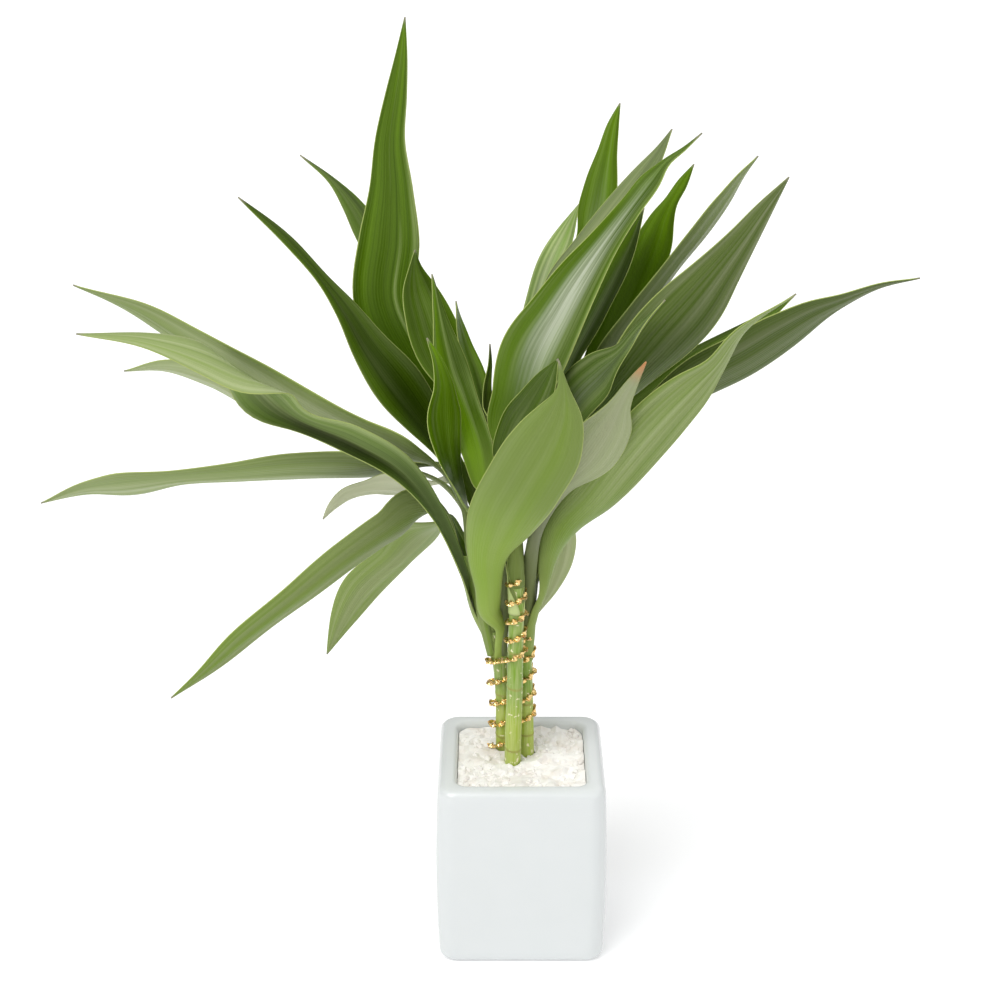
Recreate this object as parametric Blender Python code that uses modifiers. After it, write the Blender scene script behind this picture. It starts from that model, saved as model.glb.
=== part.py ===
"""A potted dracaena: three canes with their leaves, held by gold wire, in a square ceramic planter.

World axes: +Z up, the front faces -Y, and the origin is the middle of the planter's flat base.
Lengths are written in millimetres and turned to metres by MM.
"""

import math
import random
from dataclasses import dataclass

import bmesh
import bpy
import numpy as np
from mathutils import Vector

MM = 0.001
GAP = 0.3  # clearance between neighbouring pieces

# Planter
POT_WIDTH = 80.0
POT_BELLY = 82.0  # width where the sides bow out most
POT_HEIGHT = 94.5
POT_WALL = 9.0
POT_FLOOR = 8.0
POT_CORNER = 8.5  # corner radius seen from above
POT_EDGE = 4.2  # rounding of rim and foot
POT_LIP = 2.5  # rounding of the rim's inner edge
CORNER_STEPS = 4

# What the planter holds
SOIL_TOP = 80.0
CHIPS_TOP = 90.2
CHIPS_DIP = 1.6  # how far the chips lie lower round the canes
CHIP_SIZE = 5.6
CHIP_RISE = 2.4
CHIP_TILT = 0.35
CHIPS_GRID = 24
CHIPS_SEED = 11

# Canes
CANE_ROOT = 22.0  # height of a cane's lower end, inside the medium
CANE_STEPS = 12

# Leaves
BLADE = 0.8  # thickness
TIP_WIDTH = 0.6
WIDEST = 40.0
BASE = (  # height over the foot, distance off the cane, share of the way from clasp to neck
    (0.0, 0.0, 0.0),
    (8.0, 1.6, 0.5),
    (18.0, 4.4, 1.0),
)
CLASP_ANGLE = 66.0  # half of the arc that the base covers round the cane
NECK_WIDTH = 8.0
NECK_ANGLE = 50.0  # half of the neck's channel
NECK_AT = 0.25  # share of the length at which the neck ends
BLADE_AT = 0.5  # share of the length from which the blade has its own channel
TIP_ANGLE = 12.0
CENTRING = 0.5  # how far a blade's channel sinks to stay centred on its path
LEAF_ALONG = 16
LEAF_ACROSS = 4
FOOT_CROWDING = 1.2  # above 1 sets the rows closer together near the foot

# Viewpoint from which the leaves' places and widths were read
EYE = (-10.3, -860.0, 575.0)
LOOK_DOWN = 22.0  # degrees
FOCAL = 2000.0  # in picture points
MIDDLE = 500.0  # of the picture, across and down
EDGE_ON = 0.5  # least picture points to a millimetre that a width is read at

# Wire ties
WIRE_RADIUS = 0.6
WIRE_SIDES_TURN = 10  # points to a turn
TIE_LOOP = 2.0  # how far the left cane's turns stand off on their left


@dataclass(frozen=True)
class Cane:
    """One cane: its centre line from the root up and its radius along that line."""

    name: str
    line: tuple  # (x, y, z, radius)


@dataclass(frozen=True)
class Leaf:
    """One leaf, from the place where it leaves its cane to its tip.

    A spot on its midrib is (across, down, depth, turn, width): where it is seen, in picture points
    from the top left, how far it lies behind the planter's middle, how far the upper face is turned
    away from the front, in degrees, and the leaf's width there. A stalk's width is in millimetres,
    and a blade's is in picture points, as it is seen. The tip has no width.
    """

    cane: str
    foot: float  # height at which it leaves the cane
    side: float  # side of the cane that it clasps, degrees from +X towards +Y
    channel: float  # half of the blade's channel, degrees
    stalk: tuple
    blade: tuple
    tip: tuple


CANES = {
    "left": Cane(
        "cane_left",
        (
            (-8.5, 13, CANE_ROOT, 4.0),
            (-8.5, 13, 94, 3.9),
            (-8.8, 13, 120, 3.8),
            (-11, 13, 142, 3.5),
            (-14, 13, 160, 3.1),
            (-17, 13, 180, 2.5),
            (-19, 13, 200, 1.7),
        ),
    ),
    "front": Cane(
        "cane_front",
        (
            (-4, 0, CANE_ROOT, 4.1),
            (-4, 0, 94, 4.0),
            (-3, 0, 142, 3.8),
            (-2.5, 0, 184, 3.4),
            (-4, 0, 217, 2.8),
            (-8, 2, 264, 1.6),
        ),
    ),
    "right": Cane(
        "cane_right",
        (
            (2.6, 9.6, CANE_ROOT, 3.9),
            (2.6, 9.6, 94, 3.9),
            (1.8, 9.6, 142, 3.6),
            (4.6, 9.8, 192, 3.1),
            (8, 10.5, 217, 2.5),
            (12, 12, 242, 1.7),
        ),
    ),
}

LEAVES = (
    Leaf("left", 144, 180, 44,
         stalk=((463, 573, 2, 66, 8), (436, 513, 0, 56, 11)),
         blade=((399, 468, -7, 48, 27), (352, 441, -14, 40, 29), (297, 419, -22, 8, 24),
                (250, 386, -30, -60, 21), (205, 358, -37, -100, 26), (150, 341, -43, -110, 15)),
         tip=(76, 334, -50, -110)),
    Leaf("left", 140, 305, 22,
         stalk=(),
         blade=((491, 612, 1, 192, 26), (489, 588, -4, 190, 30), (488, 565, -9, 188, 40),
                (500, 526, -24, 180, 68),
                (524, 484, -43, 176, 77), (547, 444, -57, 175, 72), (560, 412, -66, 175, 44),
                (563, 390, -71, 175, 14)),
         tip=(559, 361, -76, 175)),
    Leaf("left", 152, 85, 26,
         stalk=((468, 555, 31, 40, 8), (450, 520, 38, 90, 9)),
         blade=((425, 528, 43, 130, 24), (392, 560, 48, 152, 34), (362, 588, 52, 160, 36),
                (345, 615, 55, 165, 26), (334, 638, 56, 165, 12)),
         tip=(327, 654, 56, 165)),
    Leaf("left", 159, 150, 28,
         stalk=((460, 545, 20, 75, 8), (440, 508, 17, 115, 9)),
         blade=((420, 509, 12, 138, 25), (383, 532, 0, 146, 31), (347, 557, -11, 146, 28),
                (300, 594, -25, 142, 25), (241, 640, -42, 140, 20), (201, 675, -52, 140, 9)),
         tip=(171, 698, -58, 140)),
    Leaf("left", 168, 110, 30,
         stalk=((466, 512, 27, 70, 8), (440, 482, 29, 105, 8), (400, 466, 31, 115, 9),
                (340, 443, 35, 125, 13)),
         blade=((270, 410, 37, 130, 24), (210, 378, 36, 127, 20), (165, 367, 35, 122, 10)),
         tip=(124, 371, 34, 120)),
    Leaf("left", 177, 195, 28,
         stalk=((462, 506, 14, 100, 8), (434, 464, 15, 110, 9)),
         blade=((398, 450, 13, 118, 20), (350, 431, 10, 126, 25), (295, 404, 3, 132, 28),
                (240, 370, -1, 134, 27), (190, 341, -4, 134, 24), (140, 311, -6, 132, 14)),
         tip=(73, 285, -8, 125)),
    Leaf("left", 185, 75, 24,
         stalk=((464, 480, 24, 20, 8),),
         blade=((443, 448, 26, 36, 26), (422, 418, 28, 40, 42), (398, 386, 29, 36, 50),
                (369, 347, 32, 34, 38), (345, 309, 34, 45, 23), (322, 279, 36, 60, 12),
                (288, 241, 37, 60, 10)),
         tip=(238, 197, 38, 40)),
    Leaf("left", 192, 285, 44,
         stalk=((470, 512, 2, 110, 8),),
         blade=((456, 480, -6, 70, 13), (446, 445, -11, 45, 27), (442, 412, -12, 40, 33),
                (443, 386, -11, 40, 19), (437, 360, -10, 40, 9)),
         tip=(427, 338, -9, 30)),
    Leaf("front", 188, 130, 28,
         stalk=((498, 522, 27, 55, 8), (463, 484, 40, 90, 8)),
         blade=((400, 486, 48, 130, 19), (370, 488, 50, 145, 15), (346, 495, 50, 150, 13),
                (332, 507, 50, 150, 8)),
         tip=(323, 519, 50, 150)),
    Leaf("front", 198, 110, 30,
         stalk=((496, 483, 30, 50, 8), (430, 464, 52, 105, 9)),
         blade=((380, 468, 60, 122, 20), (300, 470, 63, 130, 23), (235, 475, 68, 130, 17),
                (180, 479, 71, 130, 15), (122, 487, 74, 130, 23), (85, 490, 75, 128, 12)),
         tip=(41, 503, 75, 125)),
    Leaf("front", 206, 285, 26,
         stalk=((506, 500, -15, -130, 9),),
         blade=((508, 466, -22, -52, 30), (517, 435, -26, -50, 40), (533, 408, -32, -42, 37),
                (546, 384, -37, -42, 25)),
         tip=(558, 359, -42, -45)),
    Leaf("front", 210, 105, 20,
         stalk=((482, 462, 26, 10, 8), (448, 412, 40, 12, 20), (412, 360, 49, 10, 26)),
         blade=((384, 300, 54, 8, 61), (389, 240, 57, 6, 61), (391, 190, 58, 6, 44),
                (390, 140, 57, 8, 30), (396, 95, 56, 10, 22), (401, 58, 54, 10, 13)),
         tip=(405, 17, 52, 10)),
    Leaf("front", 218, 322, 24,
         stalk=((508, 464, -9, -75, 9),),
         blade=((508, 436, -9, -48, 38), (519, 402, -12, -38, 57), (533, 360, -14, -35, 69),
                (556, 318, -17, -28, 60), (580, 278, -19, -28, 46),
                (602, 246, -19, -30, 32), (631, 207, -18, -40, 23), (652, 180, -16, -50, 20),
                (667, 162, -14, -60, 8), (684, 149, -12, -60, 4)),
         tip=(702, 133, -10, -60)),
    Leaf("front", 223, 80, 26,
         stalk=((486, 440, 34, 0, 8), (435, 350, 66, 15, 14), (395, 272, 76, 22, 18)),
         blade=((366, 228, 80, 30, 28), (350, 203, 82, 38, 18), (333, 182, 83, 40, 8)),
         tip=(300, 155, 84, 40)),
    Leaf("front", 230, 10, 26,
         stalk=((536, 424, 3, -75, 8), (545, 345, 8, -50, 12)),
         blade=((562, 293, 11, -40, 38), (592, 249, 14, -38, 38), (622, 208, 17, -40, 32),
                (648, 170, 19, -48, 20), (662, 148, 20, -55, 9)),
         tip=(672, 129, 20, -60)),
    Leaf("front", 236, 168, 26,
         stalk=((483, 430, 15, 40, 8), (462, 390, 24, 34, 18)),
         blade=((440, 350, 31, 30, 50), (427, 315, 36, 30, 46), (418, 287, 39, 30, 32),
                (415, 266, 40, 30, 12)),
         tip=(415, 250, 40, 30)),
    Leaf("front", 239, 40, 26,
         stalk=((508, 418, 22, -20, 8), (524, 360, 34, -20, 10)),
         blade=((538, 305, 44, -22, 26), (552, 262, 51, -28, 26), (567, 230, 57, -38, 16)),
         tip=(579, 204, 60, -50)),
    Leaf("front", 226, 208, 30,
         stalk=((487, 484, -5, 40, 10),),
         blade=((477, 448, -2, 0, 34), (466, 410, 1, 25, 29), (452, 372, 5, 40, 32),
                (445, 345, 7, 38, 25), (439, 315, 9, 42, 13)),
         tip=(432, 274, 12, 50)),
    Leaf("front", 247, 20, 24,
         stalk=((514, 400, 14, -40, 8), (548, 322, 27, -30, 8), (578, 262, 37, -27, 10)),
         blade=((589, 238, 40, -26, 25), (597, 212, 43, -25, 38), (602, 182, 46, -25, 32),
                (608, 150, 48, -25, 19), (613, 126, 49, -25, 12)),
         tip=(620, 103, 50, -25)),
    Leaf("front", 257, 110, 34,
         stalk=((488, 426, 12, 50, 5),),
         blade=((483, 400, 16, 50, 15), (475, 372, 22, 50, 17), (465, 345, 27, 60, 12),
                (459, 322, 29, 70, 6)),
         tip=(456, 301, 30, 80)),
    Leaf("front", 246, 185, 34,
         stalk=(),
         blade=((487, 408, 6, 60, 9), (487, 388, 7, 40, 8), (490, 364, 8, 30, 4)),
         tip=(490, 344, 6, 30)),
    Leaf("right", 159, 335, 20,
         stalk=(),
         blade=((550, 563, 7, -140, 18), (562, 532, -3, -160, 35), (597, 495, -21, -168, 46),
                (632, 452, -31, -172, 54), (664, 416, -41, -170, 50), (694, 386, -49, -165, 38),
                (716, 364, -54, -150, 20), (738, 334, -59, -130, 9)),
         tip=(796, 294, -68, -110)),
    Leaf("right", 166, 76, 28,
         stalk=((546, 545, 26, -40, 8), (556, 513, 34, -80, 9)),
         blade=((563, 528, 41, -145, 20), (560, 557, 45, -160, 26), (551, 586, 47, -170, 16)),
         tip=(538, 613, 46, -175)),
    Leaf("right", 174, 262, 26,
         stalk=((541, 523, -17, 186, 6),),
         blade=((560, 488, -30, 192, 24), (590, 455, -39, 194, 53), (608, 428, -44, 192, 46),
                (620, 405, -49, 190, 21), (633, 382, -52, 188, 11)),
         tip=(646, 362, -56, 185)),
    Leaf("right", 181, 10, 24,
         stalk=((562, 505, 4, -105, 8), (600, 455, -1, -135, 12), (650, 415, -6, -150, 18)),
         blade=((700, 380, -11, -152, 42), (745, 356, -16, -150, 42), (785, 331, -20, -146, 37),
                (815, 313, -23, -142, 26), (842, 301, -25, -135, 14), (880, 286, -28, -125, 5)),
         tip=(920, 278, -30, -120)),
    Leaf("right", 192, 48, 26,
         stalk=((562, 475, 18, -60, 8), (612, 424, 18, -62, 14)),
         blade=((660, 388, 18, -60, 28), (705, 356, 17, -60, 24), (745, 330, 16, -64, 13),
                (776, 311, 16, -72, 6)),
         tip=(794, 296, 16, -75)),
    Leaf("right", 198, 275, 28,
         stalk=((545, 500, -6, -165, 8), (558, 440, -20, -80, 18)),
         blade=((576, 398, -27, -42, 46), (600, 374, -31, -45, 42), (620, 354, -36, -70, 15),
                (640, 328, -39, -90, 7), (654, 312, -41, -100, 4)),
         tip=(665, 300, -42, -105)),
    Leaf("right", 206, 75, 24,
         stalk=((556, 440, 22, -30, 8), (590, 380, 30, -26, 14)),
         blade=((618, 325, 35, -22, 40), (638, 280, 40, -20, 42), (655, 240, 43, -20, 36),
                (663, 218, 45, -22, 24), (671, 202, 46, -25, 14), (682, 184, 47, -28, 11)),
         tip=(694, 164, 48, -30)),
    Leaf("right", 212, 320, 22,
         stalk=((557, 470, -3, -130, 8), (590, 420, -13, -150, 18)),
         blade=((626, 378, -21, -160, 46), (660, 340, -27, -168, 64), (692, 305, -32, -172, 62),
                (718, 272, -36, -170, 46), (743, 239, -39, -166, 30), (766, 207, -41, -162, 16)),
         tip=(789, 177, -43, -160)),
    Leaf("right", 220, 130, 26,
         stalk=((541, 430, 20, 0, 8), (566, 366, 26, -40, 12)),
         blade=((594, 312, 31, -48, 26), (617, 268, 34, -50, 24), (633, 236, 36, -52, 12)),
         tip=(644, 208, 37, -55)),
    Leaf("right", 225, 0, 28,
         stalk=((566, 432, 8, -100, 8), (590, 392, 4, -118, 11)),
         blade=((616, 350, 0, -125, 24), (645, 305, -5, -127, 20), (674, 266, -8, -125, 15),
                (702, 231, -10, -122, 14), (726, 198, -12, -118, 11), (742, 175, -13, -116, 6)),
         tip=(758, 156, -14, -115)),
)


def clear_scene():
    for item in list(bpy.data.objects):
        bpy.data.objects.remove(item, do_unlink=True)


def material(name, color, roughness, metallic=0.0):
    finish = bpy.data.materials.new(name)
    finish.use_nodes = True
    shader = finish.node_tree.nodes["Principled BSDF"]
    shader.inputs["Base Color"].default_value = (*color, 1.0)
    shader.inputs["Roughness"].default_value = roughness
    shader.inputs["Metallic"].default_value = metallic
    return finish


def add_object(name, data, finish, collection):
    item = bpy.data.objects.new(name, data)
    data.materials.append(finish)
    collection.objects.link(item)
    return item


def to_mesh(name, bm):
    mesh = bpy.data.meshes.new(name)
    bm.to_mesh(mesh)
    bm.free()
    return mesh


def smooth_step(t):
    t = min(max(t, 0.0), 1.0)
    return t * t * (3.0 - 2.0 * t)


def keyed(t, *keys):
    """Value at t, eased between (t, value) keys."""
    for (t0, v0), (t1, v1) in zip(keys, keys[1:]):
        if t <= t1:
            return v0 + (v1 - v0) * smooth_step((t - t0) / (t1 - t0))
    return keys[-1][1]


def smooth_route(points, rows):
    """Points along a smooth curve through the given ones, at the given shares of its length."""
    knots = np.array(points, float)
    chords = np.linalg.norm(np.diff(knots[:, :3], axis=0), axis=1)
    at = np.concatenate(([0.0], np.cumsum(chords)))
    slopes = np.gradient(knots, at, axis=0)
    fine = []
    for i, chord in enumerate(chords):
        for u in np.linspace(0.0, 1.0, 24, endpoint=i == len(chords) - 1):
            a = (1 + 2 * u) * (1 - u) ** 2
            b = u * (1 - u) ** 2 * chord
            c = u * u * (3 - 2 * u)
            d = u * u * (u - 1) * chord
            fine.append(a * knots[i] + b * slopes[i] + c * knots[i + 1] + d * slopes[i + 1])
    fine = np.array(fine)
    run = np.concatenate(([0.0], np.cumsum(np.linalg.norm(np.diff(fine[:, :3], axis=0), axis=1))))
    share = run / run[-1]
    return [[float(np.interp(row, share, fine[:, k])) for k in range(fine.shape[1])] for row in rows]


def cane_at(cane, height):
    """Centre, upward direction and radius of a cane at a height."""
    line = np.array(cane.line, float)
    slopes = np.gradient(line, line[:, 2], axis=0)

    def at(z):
        i = int(np.clip(np.searchsorted(line[:, 2], z) - 1, 0, len(line) - 2))
        span = line[i + 1, 2] - line[i, 2]
        u = (z - line[i, 2]) / span
        a = (1 + 2 * u) * (1 - u) ** 2
        b = u * (1 - u) ** 2 * span
        c = u * u * (3 - 2 * u)
        d = u * u * (u - 1) * span
        return a * line[i] + b * slopes[i] + c * line[i + 1] + d * slopes[i + 1]

    here = at(height)
    step = at(height + 0.5) - at(height - 0.5)
    return Vector(here[:3]), Vector(step[:3]).normalized(), float(here[3])


def ring_points(half, corner, z):
    """A square with rounded corners, seen from above."""
    points = []
    for quarter in range(4):
        middle = math.radians(90 * quarter + 45)
        cx = math.copysign(half - corner, math.cos(middle))
        cy = math.copysign(half - corner, math.sin(middle))
        for step in range(CORNER_STEPS + 1):
            angle = math.radians(90 * quarter + 90 * step / CORNER_STEPS)
            points.append((cx + corner * math.cos(angle), cy + corner * math.sin(angle), z))
    return points


def lofted(rings):
    """A closed solid through rounded squares, each (half width, corner radius, height)."""
    bm = bmesh.new()
    loops = []
    for half, corner, z in rings:
        loops.append([bm.verts.new(Vector(p) * MM) for p in ring_points(half, corner, z)])
    for lower, upper in zip(loops, loops[1:]):
        edges = [bm.edges.get((a, b)) or bm.edges.new((a, b)) for loop in (lower, upper)
                 for a, b in zip(loop, loop[1:] + loop[:1])]
        bmesh.ops.bridge_loops(bm, edges=edges)
    bm.faces.new(loops[0])
    bm.faces.new(loops[-1])
    bmesh.ops.recalc_face_normals(bm, faces=bm.faces)
    return bm


def pot_rings():
    """The wall's section from the base up the outside, over the rim and down inside."""
    half = POT_WIDTH / 2
    belly = POT_BELLY / 2
    inner = half - POT_WALL
    rings = []
    for degrees in (0, 30, 60, 90):
        turn = math.radians(degrees)
        inset = POT_EDGE * (1 - math.sin(turn))
        rings.append((half - inset, POT_CORNER - inset * 0.6, POT_EDGE * (1 - math.cos(turn))))
    for share in (0.25, 0.5, 0.75):
        height = POT_EDGE + share * (POT_HEIGHT - 2 * POT_EDGE)
        rings.append((half + (belly - half) * math.sin(math.pi * share), POT_CORNER, height))
    for degrees in (0, 30, 60, 90):
        turn = math.radians(degrees)
        inset = POT_EDGE * (1 - math.cos(turn))
        rings.append((half - inset, POT_CORNER - inset * 0.6,
                      POT_HEIGHT - POT_EDGE * (1 - math.sin(turn))))
    for degrees in (0, 45, 90):
        turn = math.radians(degrees)
        inset = POT_LIP * (1 - math.sin(turn))
        rings.append((inner + inset, POT_CORNER - 2.5 + inset * 0.5,
                      POT_HEIGHT - POT_LIP * (1 - math.cos(turn))))
    rings.append((inner, POT_CORNER - 2.5, POT_FLOOR + 2))
    rings.append((inner - 2, POT_CORNER - 3.5, POT_FLOOR))
    return rings


def build_planter(collection):
    finish = material("white_glaze", (0.86, 0.87, 0.87), 0.22)
    item = add_object("planter", to_mesh("planter", lofted(pot_rings())), finish, collection)
    item.data.shade_smooth()
    item.data.set_sharp_from_angle(angle=math.radians(50))


def build_hole_cutters(collection):
    """One plain round cutter for each cane's hole in the medium and the stone chips."""
    cutters = []
    for cane in CANES.values():
        x, y, z, radius = cane.line[0]
        top = POT_HEIGHT + 10
        bm = bmesh.new()
        bmesh.ops.create_cone(bm, cap_ends=True, segments=16, radius1=(radius + 0.5) * MM,
                              radius2=(radius + 0.5) * MM, depth=(top - z + GAP) * MM)
        bmesh.ops.translate(bm, verts=bm.verts, vec=Vector((x, y, (top + z - GAP) / 2)) * MM)
        cutter = bpy.data.objects.new(cane.name + "_hole", to_mesh(cane.name + "_hole", bm))
        cutter.hide_render = True
        cutter.display_type = "WIRE"
        collection.objects.link(cutter)
        cutters.append(cutter)
    return cutters


def drill(item, cutters):
    for cutter in cutters:
        hole = item.modifiers.new(cutter.name, "BOOLEAN")
        hole.operation = "DIFFERENCE"
        hole.object = cutter


def build_medium(collection, cutters):
    half = POT_WIDTH / 2 - POT_WALL - GAP
    rings = [(half - 2.2, POT_CORNER - 3.5, POT_FLOOR + GAP), (half, POT_CORNER - 2.5, POT_FLOOR + 2.5),
             (half, POT_CORNER - 2.5, SOIL_TOP)]
    finish = material("growing_medium", (0.055, 0.035, 0.022), 0.95)
    item = add_object("growing_medium", to_mesh("growing_medium", lofted(rings)), finish, collection)
    drill(item, cutters)


def chip_relief():
    """A height formula: each spot lies on the tilted top of its nearest stone chip."""
    draw = random.Random(CHIPS_SEED)
    reach = POT_WIDTH / 2 - POT_WALL
    count = int(2 * reach / CHIP_SIZE) + 1
    chips = []
    for i in range(count):
        for j in range(count):
            x = (i + 0.5 + draw.uniform(-0.35, 0.35)) * 2 * reach / count - reach
            y = (j + 0.5 + draw.uniform(-0.35, 0.35)) * 2 * reach / count - reach
            rise = draw.uniform(0.0, CHIP_RISE)
            tilt_x = draw.uniform(-CHIP_TILT, CHIP_TILT)
            tilt_y = draw.uniform(-CHIP_TILT, CHIP_TILT)
            chips.append((x, y, rise, tilt_x, tilt_y))

    def height(x, y):
        cx, cy, rise, tilt_x, tilt_y = min(chips, key=lambda c: (c[0] - x) ** 2 + (c[1] - y) ** 2)
        edge = max(abs(x), abs(y)) / reach
        dip = CHIPS_DIP * (1 - edge ** 4)
        return CHIPS_TOP - dip + rise + tilt_x * (x - cx) + tilt_y * (y - cy)

    return height


def rounded(x, y, half, corner):
    """Pulls a spot of a square grid in at the square's rounded corners."""
    dx = (abs(x) - (half - corner)) / corner
    dy = (abs(y) - (half - corner)) / corner
    if dx <= 0 or dy <= 0:
        return x, y
    return (math.copysign(half - corner + corner * dx * math.sqrt(1 - dy * dy / 2), x),
            math.copysign(half - corner + corner * dy * math.sqrt(1 - dx * dx / 2), y))


def build_chips(collection, cutters):
    half = POT_WIDTH / 2 - POT_WALL - GAP
    corner = POT_CORNER - 2.5
    height = chip_relief()
    bm = bmesh.new()
    bmesh.ops.create_grid(bm, x_segments=CHIPS_GRID, y_segments=CHIPS_GRID, size=half)
    for vert in bm.verts:
        x, y = rounded(vert.co.x, vert.co.y, half, corner)
        vert.co = Vector((x, y, height(x, y))) * MM
    rim = [edge for edge in bm.edges if edge.is_boundary]
    walls = bmesh.ops.extrude_edge_only(bm, edges=rim)["geom"]
    for vert in walls:
        if isinstance(vert, bmesh.types.BMVert):
            vert.co.z = (SOIL_TOP + GAP) * MM
    bmesh.ops.contextual_create(bm, geom=[edge for edge in bm.edges if edge.is_boundary])
    bmesh.ops.recalc_face_normals(bm, faces=bm.faces)
    finish = material("white_stone_chips", (0.88, 0.86, 0.82), 0.8)
    item = add_object("stone_chips", to_mesh("stone_chips", bm), finish, collection)
    drill(item, cutters)


def tube(name, points, radii, finish, collection, resolution=2):
    """A round tube along a line of points, closed at both ends."""
    curve = bpy.data.curves.new(name, "CURVE")
    curve.dimensions = "3D"
    curve.bevel_depth = MM
    curve.bevel_resolution = resolution
    curve.use_fill_caps = True
    spline = curve.splines.new("POLY")
    spline.points.add(len(points) - 1)
    for spot, point, radius in zip(spline.points, points, radii):
        spot.co = (*(Vector(point) * MM), 1.0)
        spot.radius = radius
    return add_object(name, curve, finish, collection)


def build_cane(cane, finish, collection):
    low, high = cane.line[0][2], cane.line[-1][2]
    spots = [cane_at(cane, low + (high - low) * step / CANE_STEPS) for step in range(CANE_STEPS + 1)]
    tube(cane.name, [spot[0] for spot in spots], [spot[2] for spot in spots], finish, collection, 4)


def winding(cane, low, high, start, end, loop=0.0):
    """Turns of wire round a cane, from one height and side (degrees) to another.

    Each turn stands off the cane by up to loop on its left.
    """
    count = max(2, round((end - start) / 360 * WIRE_SIDES_TURN))
    points = []
    for step in range(count + 1):
        share = step / count
        middle, _, radius = cane_at(cane, low + (high - low) * share)
        reach = (radius + GAP + WIRE_RADIUS) / math.cos(math.pi / WIRE_SIDES_TURN)
        angle = math.radians(start + (end - start) * share)
        reach += loop * max(0.0, -math.cos(angle)) ** 4
        points.append(middle + reach * Vector((math.cos(angle), math.sin(angle), 0)))
    return points


def build_ties(collection):
    """Two wires: one winds up the left cane and crosses to the front one, one winds up the right cane."""
    finish = material("gold_foil_wire", (0.85, 0.52, 0.16), 0.25, 1.0)
    crossing = winding(CANES["left"], 92, 139, 180, 215 + 4 * 360, TIE_LOOP)
    crossing += winding(CANES["front"], 147, 188, 232, 300 + 4 * 360)
    for name, points in (
        ("wire_tie_left_front", crossing),
        ("wire_tie_right", winding(CANES["right"], 108, 154, 200, 300 + 4 * 360)),
    ):
        tube(name, points, [WIRE_RADIUS] * len(points), finish, collection)


def face_frame(along, turn):
    """Across and upper-face directions of a blade that runs along, turned about its midrib."""
    front = Vector((0, -1, 0))
    front = (front - front.dot(along) * along).normalized()
    side = along.cross(front)
    up = front * math.cos(turn) + side * math.sin(turn)
    return along.cross(up), up


def placed(across, down, depth):
    """The place that is seen at a picture point and lies this far behind the planter's middle."""
    dip = math.radians(LOOK_DOWN)
    climb = (MIDDLE - down) / FOCAL
    reach = depth - EYE[1]
    drop = reach * (math.sin(dip) - math.cos(dip) * climb) / (math.cos(dip) + math.sin(dip) * climb)
    distance = math.cos(dip) * reach + math.sin(dip) * drop
    return Vector(((across - MIDDLE) / FOCAL * distance + EYE[0], depth, EYE[2] - drop))


def seen(place):
    """Where a place is seen, in picture points from the picture's middle."""
    dip = math.radians(LOOK_DOWN)
    reach = place.y - EYE[1]
    drop = EYE[2] - place.z
    distance = math.cos(dip) * reach + math.sin(dip) * drop
    across = FOCAL * (place.x - EYE[0]) / distance
    return Vector((across, FOCAL * (math.sin(dip) * reach - math.cos(dip) * drop) / distance))


def real_width(leaf, place, along, turn, width):
    """A blade's width along its curved section, from the width that is seen across its run."""
    across, _ = face_frame(along, math.radians(turn))
    run = (seen(place + along) - seen(place)).normalized()
    rate = abs((seen(place + across) - seen(place)).cross(run))
    channel = math.radians(leaf.channel)
    return min(width / max(rate, EDGE_ON) * channel / math.sin(channel), WIDEST)


def midrib(leaf):
    """Places (x, y, z), turns and widths of a leaf from its stalk to its tip."""
    spots = (*leaf.stalk, *leaf.blade, leaf.tip)
    places = [placed(*spot[:3]) for spot in spots]
    widths = [spot[4] for spot in leaf.stalk]
    for i, (_, _, _, turn, width) in enumerate(leaf.blade, len(leaf.stalk)):
        along = (places[i + 1] - places[max(i - 1, 0)]).normalized()
        widths.append(real_width(leaf, places[i], along, turn, width))
    widths.append(TIP_WIDTH)
    return [(*place, spot[3], width) for place, spot, width in zip(places, spots, widths)]


def leaf_route(leaf, rows):
    """Midrib points, turns and half widths of a leaf, with its base laid on the cane."""
    cane = CANES[leaf.cane]
    knots = []
    for rise, lift, narrowing in BASE:
        middle, along, radius = cane_at(cane, leaf.foot + rise)
        outward = Vector((math.cos(math.radians(leaf.side)), math.sin(math.radians(leaf.side)), 0))
        outward = (outward - outward.dot(along) * along).normalized()
        reach = radius + GAP + BLADE / 2
        across, up = face_frame(along, 0.0)
        turn = math.degrees(math.atan2(-outward.dot(along.cross(up)), -outward.dot(up)))
        clasp = reach * math.radians(CLASP_ANGLE)
        half = clasp + (NECK_WIDTH / 2 - clasp) * narrowing
        knots.append([*(middle + outward * (reach + lift)), turn, half])
    for x, y, z, turn, width in midrib(leaf):
        while turn - knots[-1][3] > 180:
            turn -= 360
        while turn - knots[-1][3] < -180:
            turn += 360
        knots.append([x, y, z, turn, width / 2])
    return smooth_route(knots, rows)


def channel_angle(leaf, t):
    """Half of a leaf's channel at a share of its length, in radians."""
    angle = keyed(t, (0.0, CLASP_ANGLE), (NECK_AT, NECK_ANGLE), (BLADE_AT, leaf.channel),
                  (1.0, TIP_ANGLE))
    return math.radians(angle)


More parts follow.
